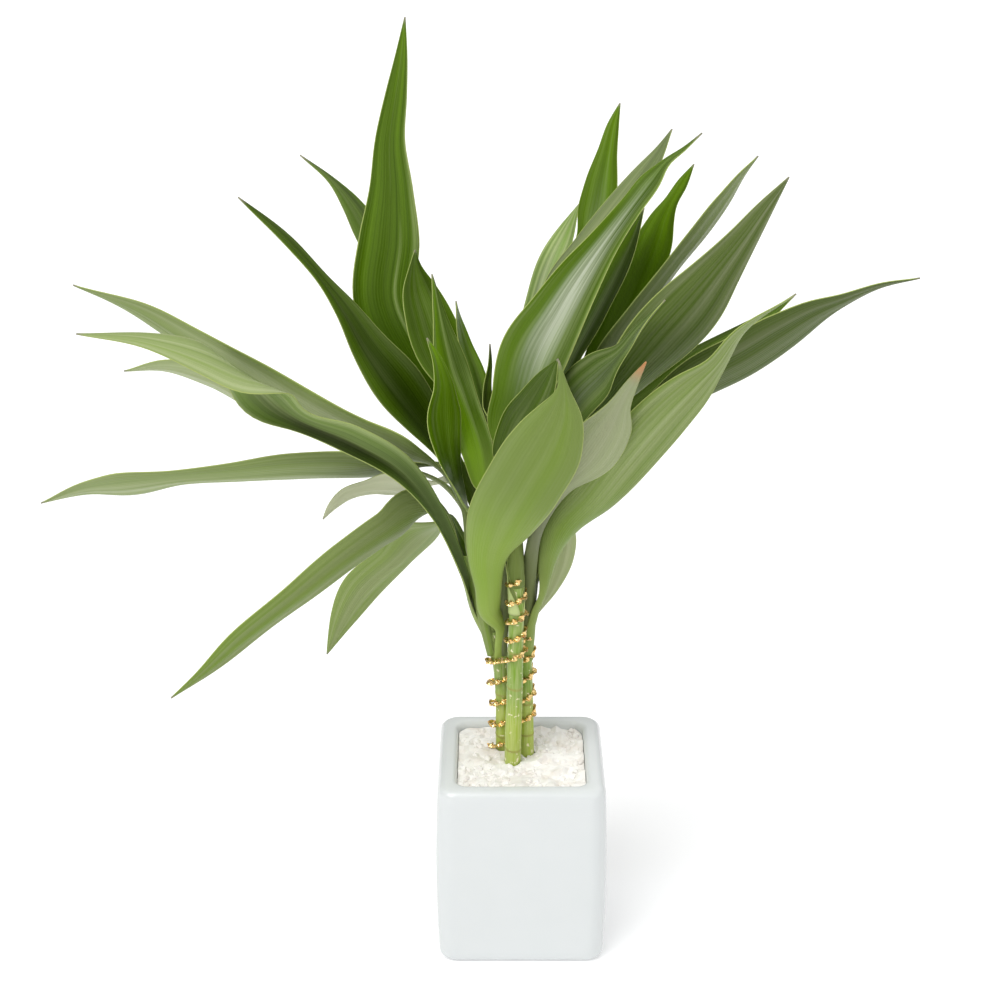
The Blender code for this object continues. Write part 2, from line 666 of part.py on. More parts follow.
def build_leaf(name, leaf, finish, collection):
    """A channelled blade bent along its midrib, from a flat grid given its thickness."""
    rows = [(i / LEAF_ALONG) ** FOOT_CROWDING for i in range(LEAF_ALONG + 1)]
    route = leaf_route(leaf, rows)
    spots = [Vector(r[:3]) for r in route]
    bm = bmesh.new()
    bmesh.ops.create_grid(bm, x_segments=LEAF_ACROSS, y_segments=LEAF_ALONG, size=1)
    for vert in bm.verts:
        row = round((vert.co.y + 1) / 2 * LEAF_ALONG)
        side = vert.co.x
        along = (spots[min(row + 1, LEAF_ALONG)] - spots[max(row - 1, 0)]).normalized()
        across, up = face_frame(along, math.radians(route[row][3]))
        angle = channel_angle(leaf, rows[row])
        radius = route[row][4] / angle
        sag = CENTRING * radius * (1 - math.cos(angle)) * smooth_step(rows[row] / NECK_AT)
        bend = side * angle
        rise = radius * (1 - math.cos(bend)) - sag
        vert.co = (spots[row] + across * radius * math.sin(bend) + up * rise) * MM
    bmesh.ops.triangulate(bm, faces=bm.faces)
    item = add_object(name, to_mesh(name, bm), finish, collection)
    wall = item.modifiers.new("blade", "SOLIDIFY")
    wall.thickness = BLADE * MM
    wall.offset = 0.0


def build_plant(collection):
    bark = material("green_cane", (0.30, 0.42, 0.12), 0.45)
    for cane in CANES.values():
        build_cane(cane, bark, collection)
    green = material("leaf_green", (0.12, 0.22, 0.03), 0.4)
    counts = {}
    for leaf in LEAVES:
        counts[leaf.cane] = counts.get(leaf.cane, 0) + 1
        build_leaf(f"leaf_{leaf.cane}_{counts[leaf.cane]:02d}", leaf, green, collection)


def main():
    clear_scene()
    parts = bpy.data.collections.new("potted_dracaena")
    cutting = bpy.data.collections.new("cutters")
    for collection in (parts, cutting):
        bpy.context.scene.collection.children.link(collection)
    cutters = build_hole_cutters(cutting)
    build_planter(parts)
    build_medium(parts, cutters)
    build_chips(parts, cutters)
    build_plant(parts)
    build_ties(parts)


main()
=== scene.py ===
"""The looks of a potted dracaena: fine leaves, canes, foil ties, marble chips and glaze.

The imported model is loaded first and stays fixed. Each piece here stands where the solid that it
replaces stands. Lengths are written in millimetres and turned to metres by MM.
"""

import itertools
import logging
import math
import random
from dataclasses import dataclass
from enum import Enum
from typing import Callable, Iterable, Optional, Sequence

import bmesh
import bpy
import numpy as np
from mathutils import Euler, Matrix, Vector, noise


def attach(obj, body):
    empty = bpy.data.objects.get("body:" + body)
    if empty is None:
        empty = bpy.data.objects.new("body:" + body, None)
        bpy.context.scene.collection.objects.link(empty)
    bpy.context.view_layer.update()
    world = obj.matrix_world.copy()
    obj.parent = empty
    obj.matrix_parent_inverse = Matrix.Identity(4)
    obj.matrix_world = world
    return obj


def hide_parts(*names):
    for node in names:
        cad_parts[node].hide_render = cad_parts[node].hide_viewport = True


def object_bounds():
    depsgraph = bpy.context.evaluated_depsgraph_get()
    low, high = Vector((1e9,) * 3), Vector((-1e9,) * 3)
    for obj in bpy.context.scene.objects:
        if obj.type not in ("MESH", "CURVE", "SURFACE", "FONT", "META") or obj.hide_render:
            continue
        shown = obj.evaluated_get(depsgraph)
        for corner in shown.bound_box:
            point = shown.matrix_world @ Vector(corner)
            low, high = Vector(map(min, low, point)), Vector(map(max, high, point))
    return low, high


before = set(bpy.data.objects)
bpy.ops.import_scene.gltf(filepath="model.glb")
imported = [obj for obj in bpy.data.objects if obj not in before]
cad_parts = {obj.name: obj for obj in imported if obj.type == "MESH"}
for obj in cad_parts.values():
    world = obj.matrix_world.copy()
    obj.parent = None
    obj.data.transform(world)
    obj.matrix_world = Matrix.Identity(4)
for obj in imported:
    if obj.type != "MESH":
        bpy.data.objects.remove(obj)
CAD_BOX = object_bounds()

MM = 0.001
BODY = "root"
# Steps from one knot of a curve to the next, the reach that gives a cane's direction, in millimetres,
# and the widest gap that a seam closes, in metres
STEPS_A_KNOT = 24
PROBE = 0.5
SEAM = 1e-6
log = logging.getLogger("potted_dracaena")

Item = bpy.types.Object
Material = bpy.types.Material
Socket = bpy.types.NodeSocket
Spot = tuple[float, ...]


class Face(Enum):
    """Sides of a leaf blade, by their material slot."""

    UPPER = 0
    UNDER = 1
    MARGIN = 2


class Base(Enum):
    """What a pattern follows on its piece."""

    OBJECT = "Object"
    UV = "UV"


def smooth_step(t: float) -> float:
    """An eased share between 0 and 1, from a plain one, which is held between 0 and 1."""
    t = min(max(t, 0.0), 1.0)
    return t * t * (3.0 - 2.0 * t)


def keyed(t: float, *keys: tuple[float, float]) -> float:
    """A value eased between keys.

    Args:
        t: Where the value is wanted.
        keys: Pairs of place and value, in rising order.

    Returns:
        The value at t.
    """
    for (t0, v0), (t1, v1) in zip(keys, keys[1:]):
        if t <= t1:
            return v0 + (v1 - v0) * smooth_step((t - t0) / (t1 - t0))
    return keys[-1][1]


def between(knots: np.ndarray, slopes: np.ndarray, i: int, u: float, span: float) -> np.ndarray:
    """A smooth curve's values between two knots.

    Args:
        knots: The knots' values.
        slopes: How fast the values change at the knots.
        i: The number of the first knot.
        u: The share of the way to the next one.
        span: The distance between the two.

    Returns:
        All values there.
    """
    a = (1 + 2 * u) * (1 - u) ** 2
    b = u * (1 - u) ** 2 * span
    c = u * u * (3 - 2 * u)
    d = u * u * (u - 1) * span
    return a * knots[i] + b * slopes[i] + c * knots[i + 1] + d * slopes[i + 1]


def lengths(places: np.ndarray) -> np.ndarray:
    """How far along a route each of its places lies, from 0 at the first one."""
    return np.concatenate(([0.0], np.cumsum(np.linalg.norm(np.diff(places, axis=0), axis=1))))


def heading(places: Sequence[Vector], at: int) -> Vector:
    """A route's direction at one of its places, by that place's number."""
    return (places[min(at + 1, len(places) - 1)] - places[max(at - 1, 0)]).normalized()


def smooth_route(points: Sequence[Sequence[float]], rows: Iterable[float]) -> list[list[float]]:
    """Reads a smooth curve through knots.

    Args:
        points: The knots; the first three values of each are its place.
        rows: Shares of the curve's length.

    Returns:
        All of a knot's values at each share.
    """
    knots = np.array(points, float)
    at = lengths(knots[:, :3])
    slopes = np.gradient(knots, at, axis=0)
    fine = []
    for i, chord in enumerate(np.diff(at)):
        for u in np.linspace(0.0, 1.0, STEPS_A_KNOT, endpoint=i == len(at) - 2):
            fine.append(between(knots, slopes, i, u, chord))
    fine = np.array(fine)
    run = lengths(fine[:, :3])
    share = run / run[-1]
    return [[float(np.interp(row, share, fine[:, k])) for k in range(fine.shape[1])] for row in rows]


@dataclass(frozen=True)
class Viewpoint:
    """The place from which the plant was read, which is the camera's place too."""

    eye: tuple[float, float, float] = (-10.3, -860.0, 575.0)
    look_down: float = 22.0
    focal: float = 2000.0
    middle: float = 500.0
    edge_on: float = 0.5

    def placed(self, across: float, down: float, depth: float) -> Vector:
        """The place seen at a picture point.

        Args:
            across: Picture points from the left.
            down: Picture points from the top.
            depth: How far the place lies behind the planter's middle.

        Returns:
            The place in millimetres.
        """
        dip = math.radians(self.look_down)
        climb = (self.middle - down) / self.focal
        reach = depth - self.eye[1]
        drop = reach * (math.sin(dip) - math.cos(dip) * climb)
        drop /= math.cos(dip) + math.sin(dip) * climb
        distance = math.cos(dip) * reach + math.sin(dip) * drop
        x = (across - self.middle) / self.focal * distance + self.eye[0]
        return Vector((x, depth, self.eye[2] - drop))

    def seen(self, place: Vector) -> Vector:
        """Where a place is seen.

        Args:
            place: A place in millimetres.

        Returns:
            Picture points from the picture's middle.
        """
        dip = math.radians(self.look_down)
        reach = place.y - self.eye[1]
        drop = self.eye[2] - place.z
        distance = math.cos(dip) * reach + math.sin(dip) * drop
        across = self.focal * (place.x - self.eye[0]) / distance
        down = self.focal * (math.sin(dip) * reach - math.cos(dip) * drop) / distance
        return Vector((across, down))


VIEW = Viewpoint()


@dataclass(frozen=True)
class CaneLine:
    """One cane's centre line from the root up, with its radius: (x, y, z, radius)."""

    line: tuple[Spot, ...]

    def at(self, height: float) -> tuple[Vector, Vector, float]:
        """The cane at a height.

        Args:
            height: Height over the floor in millimetres.

        Returns:
            Its centre, its upward direction and its radius.
        """
        line = np.array(self.line, float)
        slopes = np.gradient(line, line[:, 2], axis=0)

        def read(z: float) -> np.ndarray:
            """Reads the line.

            Args:
                z: The height.

            Returns:
                All of its values there.
            """
            i = int(np.clip(np.searchsorted(line[:, 2], z) - 1, 0, len(line) - 2))
            span = line[i + 1, 2] - line[i, 2]
            return between(line, slopes, i, (z - line[i, 2]) / span, span)

        here = read(height)
        step = read(height + PROBE) - read(height - PROBE)
        return Vector(here[:3]), Vector(step[:3]).normalized(), float(here[3])


CANES = {
    "left": CaneLine(((-8.5, 13, 22, 4.0), (-8.5, 13, 94, 3.9), (-8.8, 13, 120, 3.8), (-11, 13, 142, 3.5),
                      (-14, 13, 160, 3.1), (-17, 13, 180, 2.5), (-19, 13, 200, 1.7))),
    "front": CaneLine(((-4, 0, 22, 4.1), (-4, 0, 94, 4.0), (-3, 0, 142, 3.8), (-2.5, 0, 184, 3.4),
                       (-4, 0, 217, 2.8), (-8, 2, 264, 1.6))),
    "right": CaneLine(((2.6, 9.6, 22, 3.9), (2.6, 9.6, 94, 3.9), (1.8, 9.6, 142, 3.6), (4.6, 9.8, 192, 3.1),
                       (8, 10.5, 217, 2.5), (12, 12, 242, 1.7))),
}

# Lowest height that a sheath reaches on each cane
WRAP_FROM = {"left": 139.0, "front": 170.0, "right": 141.0}


@dataclass(frozen=True)
class Look:
    """How one leaf looks beside its neighbours: light is 1 for a plain one, and the rest 0.

    Silver is a grey cast. The sheen sets painted highlights, broad pale glossy streaks, and how plainly
    lines show along the blade. The fold paints shade over one half, the other one where it is below 0,
    up to the share of the length given after it. The stripe is a painted highlight, a pale gleam along
    the midline. The root paints light and shade on the half by the cane, its brightness beside the
    rest: painted shade below 1 and painted light above. Rust reddens the dried tip, and rich turns a
    pale under face towards the upper one's green. All are judged leaf by leaf.
    """

    light: float = 1.0
    silver: float = 0.0
    sheen: float = 0.25
    painted_fold_shade: float = 0.0
    painted_shade_to: float = 1.0
    painted_highlight_stripe: float = 0.0
    # Painted light and shade on the half by the cane: painted shade below 1, painted light above
    root: float = 1.0
    rust: float = 0.0
    rich: float = 0.0


@dataclass(frozen=True)
class Leaf:
    """One leaf, from the place where it leaves its cane to its tip.

    Foot is the height where it leaves the cane, side the way that it faces there, and channel how far
    each half of its blade curls up, in millimetres and degrees. A spot on its midrib is (across, down,
    depth, turn, width): where it is seen, in picture points from the top left, how far it lies behind
    the planter's middle, how far the upper face is turned away from the front, in degrees, and the
    leaf's width there. The first spots, as many as stalk says, have their width in millimetres, and
    the rest in picture points, as it is seen. The tip has no width.
    """

    cane: str
    foot: float
    side: float
    channel: float
    look: Look
    stalk: int
    spots: tuple[Spot, ...]


LEAVES = (
    Leaf("left", 144, 180, 44, Look(1.1, 0.15, 0.6, -0.85, 0.72, rich=0.1), 2, (
        (463, 573, 2, 66, 8), (436, 513, 0, 56, 11), (399, 468, -7, 48, 27), (352, 441, -14, 40, 29),
        (297, 419, -22, 8, 24), (250, 386, -30, -60, 21), (205, 358, -37, -100, 26),
        (150, 341, -43, -110, 15), (76, 334, -50, -110))),
    Leaf("left", 140, 305, 22, Look(0.87, 0.0, 0.12, root=1.45), 0, (
        (491, 612, 1, 192, 26), (489, 588, -4, 190, 30), (488, 565, -9, 188, 40), (500, 526, -24, 180, 68),
        (524, 484, -43, 176, 77), (547, 444, -57, 175, 72), (560, 412, -66, 175, 44),
        (563, 390, -71, 175, 14), (559, 361, -76, 175))),
    Leaf("left", 152, 85, 26, Look(1.0, 0.1, 0.4), 2, (
        (468, 555, 31, 40, 8), (450, 520, 38, 90, 9), (425, 528, 43, 130, 24), (392, 560, 48, 152, 34),
        (362, 588, 52, 160, 36), (345, 615, 55, 165, 26), (334, 638, 56, 165, 12), (327, 654, 56, 165))),
    Leaf("left", 159, 150, 28, Look(0.9, 0.0, 0.25, root=0.75), 2, (
        (460, 545, 20, 75, 8), (440, 508, 17, 115, 9), (420, 509, 12, 138, 25), (383, 532, 0, 146, 31),
        (347, 557, -11, 146, 28), (300, 594, -25, 142, 25), (241, 640, -42, 140, 20),
        (201, 675, -52, 140, 9), (171, 698, -58, 140))),
    Leaf("left", 168, 110, 30, Look(1.15, 0.3, 0.3), 4, (
        (466, 512, 27, 70, 8), (440, 482, 29, 105, 8), (400, 466, 31, 115, 9), (340, 443, 35, 125, 13),
        (270, 410, 37, 130, 24), (210, 378, 36, 127, 20), (165, 367, 35, 122, 10), (124, 371, 34, 120))),
    Leaf("left", 177, 195, 28, Look(0.9, 0.05, 0.5, root=0.7), 2, (
        (462, 506, 14, 100, 8), (434, 464, 15, 110, 9), (398, 450, 13, 118, 20), (350, 431, 10, 126, 25),
        (295, 404, 3, 132, 28), (240, 370, -1, 134, 27), (190, 341, -4, 134, 24), (140, 311, -6, 132, 14),
        (73, 285, -8, 125))),
    Leaf("left", 185, 75, 24, Look(0.49, 0.0, 0.25), 1, (
        (464, 480, 24, 20, 8), (443, 448, 26, 36, 26), (422, 418, 28, 40, 42), (398, 386, 29, 36, 50),
        (369, 347, 32, 34, 38), (345, 309, 34, 45, 23), (322, 279, 36, 60, 12), (288, 241, 37, 60, 10),
        (238, 197, 38, 40))),
    Leaf("left", 192, 285, 44, Look(1.2, 0.0, 0.2, 0.35), 1, (
        (470, 512, 2, 110, 8), (456, 480, -6, 70, 13), (446, 445, -11, 45, 27), (442, 412, -12, 40, 33),
        (443, 386, -11, 40, 19), (437, 360, -10, 40, 9), (427, 338, -9, 30))),
    Leaf("front", 188, 130, 28, Look(1.5, 0.8, 0.9), 2, (
        (498, 522, 27, 55, 8), (463, 484, 40, 90, 8), (400, 486, 48, 130, 19), (370, 488, 50, 145, 15),
        (346, 495, 50, 150, 13), (332, 507, 50, 150, 8), (323, 519, 50, 150))),
    Leaf("front", 198, 110, 30, Look(0.95, 0.1, 0.5, root=0.6), 2, (
        (496, 483, 30, 50, 8), (430, 464, 52, 105, 9), (380, 468, 60, 122, 20), (300, 470, 63, 130, 23),
        (235, 475, 68, 130, 17), (180, 479, 71, 130, 15), (122, 487, 74, 130, 23), (85, 490, 75, 128, 12),
        (41, 503, 75, 125))),
    Leaf("front", 206, 285, 26, Look(0.6, 0.0, 0.4, rich=0.5), 1, (
        (506, 500, -15, -130, 9), (508, 466, -22, -52, 30), (517, 435, -26, -50, 40),
        (533, 408, -32, -42, 37), (546, 384, -37, -42, 25), (558, 359, -42, -45))),
    Leaf("front", 210, 105, 20, Look(1.27, 0.0, 0.9), 3, (
        (482, 462, 26, 10, 8), (448, 412, 40, 12, 20), (412, 360, 49, 10, 26), (384, 300, 54, 8, 61),
        (389, 240, 57, 6, 61), (391, 190, 58, 6, 44), (390, 140, 57, 8, 30), (396, 95, 56, 10, 22),
        (401, 58, 54, 10, 13), (405, 17, 52, 10))),
    Leaf("front", 218, 322, 24, Look(0.9, 0.0, 0.5, painted_highlight_stripe=1.0), 1, (
        (508, 464, -9, -75, 9), (508, 436, -9, -48, 38), (519, 402, -12, -38, 57), (533, 360, -14, -35, 69),
        (556, 318, -17, -28, 60), (580, 278, -19, -28, 46), (602, 246, -19, -30, 32),
        (631, 207, -18, -40, 23), (652, 180, -16, -50, 20), (667, 162, -14, -60, 8),
        (684, 149, -12, -60, 4), (702, 133, -10, -60))),
    Leaf("front", 223, 80, 26, Look(0.8, 0.1, 0.35), 3, (
        (486, 440, 34, 0, 8), (435, 350, 66, 15, 14), (395, 272, 76, 22, 18), (366, 228, 80, 30, 28),
        (350, 203, 82, 38, 18), (333, 182, 83, 40, 8), (300, 155, 84, 40))),
    Leaf("front", 230, 10, 26, Look(0.75, 0.3, 0.8), 2, (
        (536, 424, 3, -75, 8), (545, 345, 8, -50, 12), (562, 293, 11, -40, 38), (592, 249, 14, -38, 38),
        (622, 208, 17, -40, 32), (648, 170, 19, -48, 20), (662, 148, 20, -55, 9), (672, 129, 20, -60))),
    Leaf("front", 236, 168, 26, Look(0.6, 0.0, 0.2, root=1.35), 2, (
        (483, 430, 15, 40, 8), (462, 390, 24, 34, 18), (440, 350, 31, 30, 50), (427, 315, 36, 30, 46),
        (418, 287, 39, 30, 32), (415, 266, 40, 30, 12), (415, 250, 40, 30))),
    Leaf("front", 239, 40, 26, Look(1.2, 0.2, 0.6, painted_highlight_stripe=0.4), 2, (
        (508, 418, 22, -20, 8), (524, 360, 34, -20, 10), (538, 305, 44, -22, 26), (552, 262, 51, -28, 26),
        (567, 230, 57, -38, 16), (579, 204, 60, -50))),
    Leaf("front", 226, 208, 30, Look(1.05, 0.0, 0.35, root=1.35), 1, (
        (487, 484, -5, 40, 10), (477, 448, -2, 0, 34), (466, 410, 1, 25, 29), (452, 372, 5, 40, 32),
        (445, 345, 7, 38, 25), (439, 315, 9, 42, 13), (432, 274, 12, 50))),
    Leaf("front", 247, 20, 24, Look(0.9, 0.0, 0.25, painted_highlight_stripe=0.2), 3, (
        (514, 400, 14, -40, 8), (548, 322, 27, -30, 8), (578, 262, 37, -27, 10), (589, 238, 40, -26, 25),
        (597, 212, 43, -25, 38), (602, 182, 46, -25, 32), (608, 150, 48, -25, 19), (613, 126, 49, -25, 12),
        (620, 103, 50, -25))),
    Leaf("front", 257, 110, 34, Look(0.8, 0.0, 0.15), 1, (
        (488, 426, 12, 50, 5), (483, 400, 16, 50, 15), (475, 372, 22, 50, 17), (465, 345, 27, 60, 12),
        (459, 322, 29, 70, 6), (456, 301, 30, 80))),
    Leaf("front", 246, 185, 34, Look(0.6, 0.0, 0.1), 0, (
        (487, 408, 6, 60, 9), (487, 388, 7, 40, 8), (490, 364, 8, 30, 4), (490, 344, 6, 30))),
    Leaf("right", 159, 335, 20, Look(0.92, 0.0, 0.5, rich=0.2), 0, (
        (550, 563, 7, -140, 18), (562, 532, -3, -160, 35), (597, 495, -21, -168, 46),
        (632, 452, -31, -172, 54), (664, 416, -41, -170, 50), (694, 386, -49, -165, 38),
        (716, 364, -54, -150, 20), (738, 334, -59, -130, 9), (796, 294, -68, -110))),
    Leaf("right", 166, 76, 28, Look(1.3, 0.4, 0.4), 2, (
        (546, 545, 26, -40, 8), (556, 513, 34, -80, 9), (563, 528, 41, -145, 20), (560, 557, 45, -160, 26),
        (551, 586, 47, -170, 16), (538, 613, 46, -175))),
    Leaf("right", 174, 262, 26, Look(0.95, 0.5, 0.4, root=0.5, rust=1.0), 1, (
        (541, 523, -17, 186, 6), (560, 488, -30, 192, 24), (590, 455, -39, 194, 53),
        (608, 428, -44, 192, 46), (620, 405, -49, 190, 21), (633, 382, -52, 188, 11),
        (646, 362, -56, 185))),
    Leaf("right", 181, 10, 24, Look(0.41, 0.0, 0.4, rich=0.75), 3, (
        (562, 505, 4, -105, 8), (600, 455, -1, -135, 12), (650, 415, -6, -150, 18),
        (700, 380, -11, -152, 42), (745, 356, -16, -150, 42), (785, 331, -20, -146, 37),
        (815, 313, -23, -142, 26), (842, 301, -25, -135, 14), (880, 286, -28, -125, 5),
        (920, 278, -30, -120))),
    Leaf("right", 192, 48, 26, Look(0.75, 0.0, 0.2), 2, (
        (562, 475, 18, -60, 8), (612, 424, 18, -62, 14), (660, 388, 18, -60, 28), (705, 356, 17, -60, 24),
        (745, 330, 16, -64, 13), (776, 311, 16, -72, 6), (794, 296, 16, -75))),
    Leaf("right", 198, 275, 28, Look(0.68, 0.1, 0.5, -0.5, 0.7, rich=0.4, painted_highlight_stripe=0.3), 2, (
        (545, 500, -6, -165, 8), (558, 440, -20, -80, 18), (576, 398, -27, -42, 46),
        (600, 374, -31, -45, 42), (620, 354, -36, -70, 15), (640, 328, -39, -90, 7),
        (654, 312, -41, -100, 4), (665, 300, -42, -105))),
    Leaf("right", 206, 75, 24, Look(0.85, 0.0, 0.1), 2, (
        (556, 440, 22, -30, 8), (590, 380, 30, -26, 14), (618, 325, 35, -22, 40), (638, 280, 40, -20, 42),
        (655, 240, 43, -20, 36), (663, 218, 45, -22, 24), (671, 202, 46, -25, 14), (682, 184, 47, -28, 11),
        (694, 164, 48, -30))),
    Leaf("right", 212, 320, 22, Look(0.52, 0.0, 0.75, root=1.4, rich=0.75), 2, (
        (557, 470, -3, -130, 8), (590, 420, -13, -150, 18), (626, 378, -21, -160, 46),
        (660, 340, -27, -168, 64), (692, 305, -32, -172, 62), (718, 272, -36, -170, 46),
        (743, 239, -39, -166, 30), (766, 207, -41, -162, 16), (789, 177, -43, -160))),
    Leaf("right", 220, 130, 26, Look(0.6, 0.0, 0.2, painted_highlight_stripe=0.25), 2, (
        (541, 430, 20, 0, 8), (566, 366, 26, -40, 12), (594, 312, 31, -48, 26), (617, 268, 34, -50, 24),
        (633, 236, 36, -52, 12), (644, 208, 37, -55))),
    Leaf("right", 225, 0, 28, Look(0.8, 0.1, 0.5, rich=0.2), 2, (
        (566, 432, 8, -100, 8), (590, 392, 4, -118, 11), (616, 350, 0, -125, 24), (645, 305, -5, -127, 20),
        (674, 266, -8, -125, 15), (702, 231, -10, -122, 14), (726, 198, -12, -118, 11),
        (742, 175, -13, -116, 6), (758, 156, -14, -115))),
)


@dataclass(frozen=True)
class Growth:
    """Sizes that all leaves share, in millimetres and degrees, and in shares of a leaf's length.

    Base says how high over its foot, how far off its cane and how narrow (0 to 1) a leaf's base is.
    Pleats and waves are the least and the most that one blade has.
    """

    blade: float = 0.8
    margin_share: float = 0.4
    gap: float = 0.3
    base: tuple[tuple[float, float, float], ...] = ((0.0, 0.0, 0.0), (8.0, 1.6, 0.5), (18.0, 4.4, 1.0))
    clasp_angle: float = 66.0
    neck_width: float = 8.0
    neck_angle: float = 50.0
    neck_at: float = 0.25
    blade_at: float = 0.5
    tip_angle: float = 12.0
    tip_width: float = 0.6
    widest: float = 40.0
    centring: float = 0.5
    along: int = 96
    across: int = 16
    crowding: float = 1.2
    relief_from: float = 0.3
    relief_over: float = 0.25
    relief_end: float = 0.15
    relief_half: float = 10.0
    groove: float = 0.3
    groove_half: float = 0.09
    pleat: float = 0.18
    pleats: tuple[float, float] = (2.2, 3.2)
    pleat_drift: float = 2.5
    wave: float = 0.45
    waves: tuple[float, float] = (2.0, 4.0)
    wrap: float = 22.0
    wrap_angle: float = 168.0
    wrap_gap: float = 0.1
    wrap_rows: int = 14


@dataclass(frozen=True)
class Shading:
    """Where a leaf's colours begin and end: shares of its length or half width, and millimetres."""

    dry_tip: float = 14.0
    dry_half: float = 0.7
    dry_start: float = 1.4
    pale_stalk: float = 60.0
    blade_over: float = 0.25
    # Painted shade on one half: where it fades out towards the tip, and how sharp its edge is at the midrib
    painted_shade_end: float = 0.15
    painted_shade_edge: float = 5.0
    # Painted light and shade by the cane: where they give way to the leaf's own brightness
    painted_root_light_from: float = 0.3
    painted_root_light_over: float = 0.35
    # The painted highlight stripe: where it fades along the blade, and its half width across
    painted_highlight_from: float = 0.55
    painted_highlight_over: float = 0.4
    painted_highlight_half: float = 0.42


GROWTH = Growth()
SHADING = Shading()


def face_frame(along: Vector, turn: float) -> tuple[Vector, Vector]:
    """Directions of a blade that runs along, turned about its midrib.

    Args:
        along: The midrib's direction.
        turn: Turn of the upper face away from the front, in radians.

    Returns:
        The directions across the blade and out of its upper face.
    """
    front = Vector((0, -1, 0))
    front = (front - front.dot(along) * along).normalized()
    side = along.cross(front)
    up = front * math.cos(turn) + side * math.sin(turn)
    return along.cross(up), up


@dataclass(frozen=True)
class BladeRow:
    """One row of a blade: its midrib's place, turn (radians), half width and share of the length."""

    spot: Vector
    turn: float
    half: float
    share: float
    angle: float = 0.0


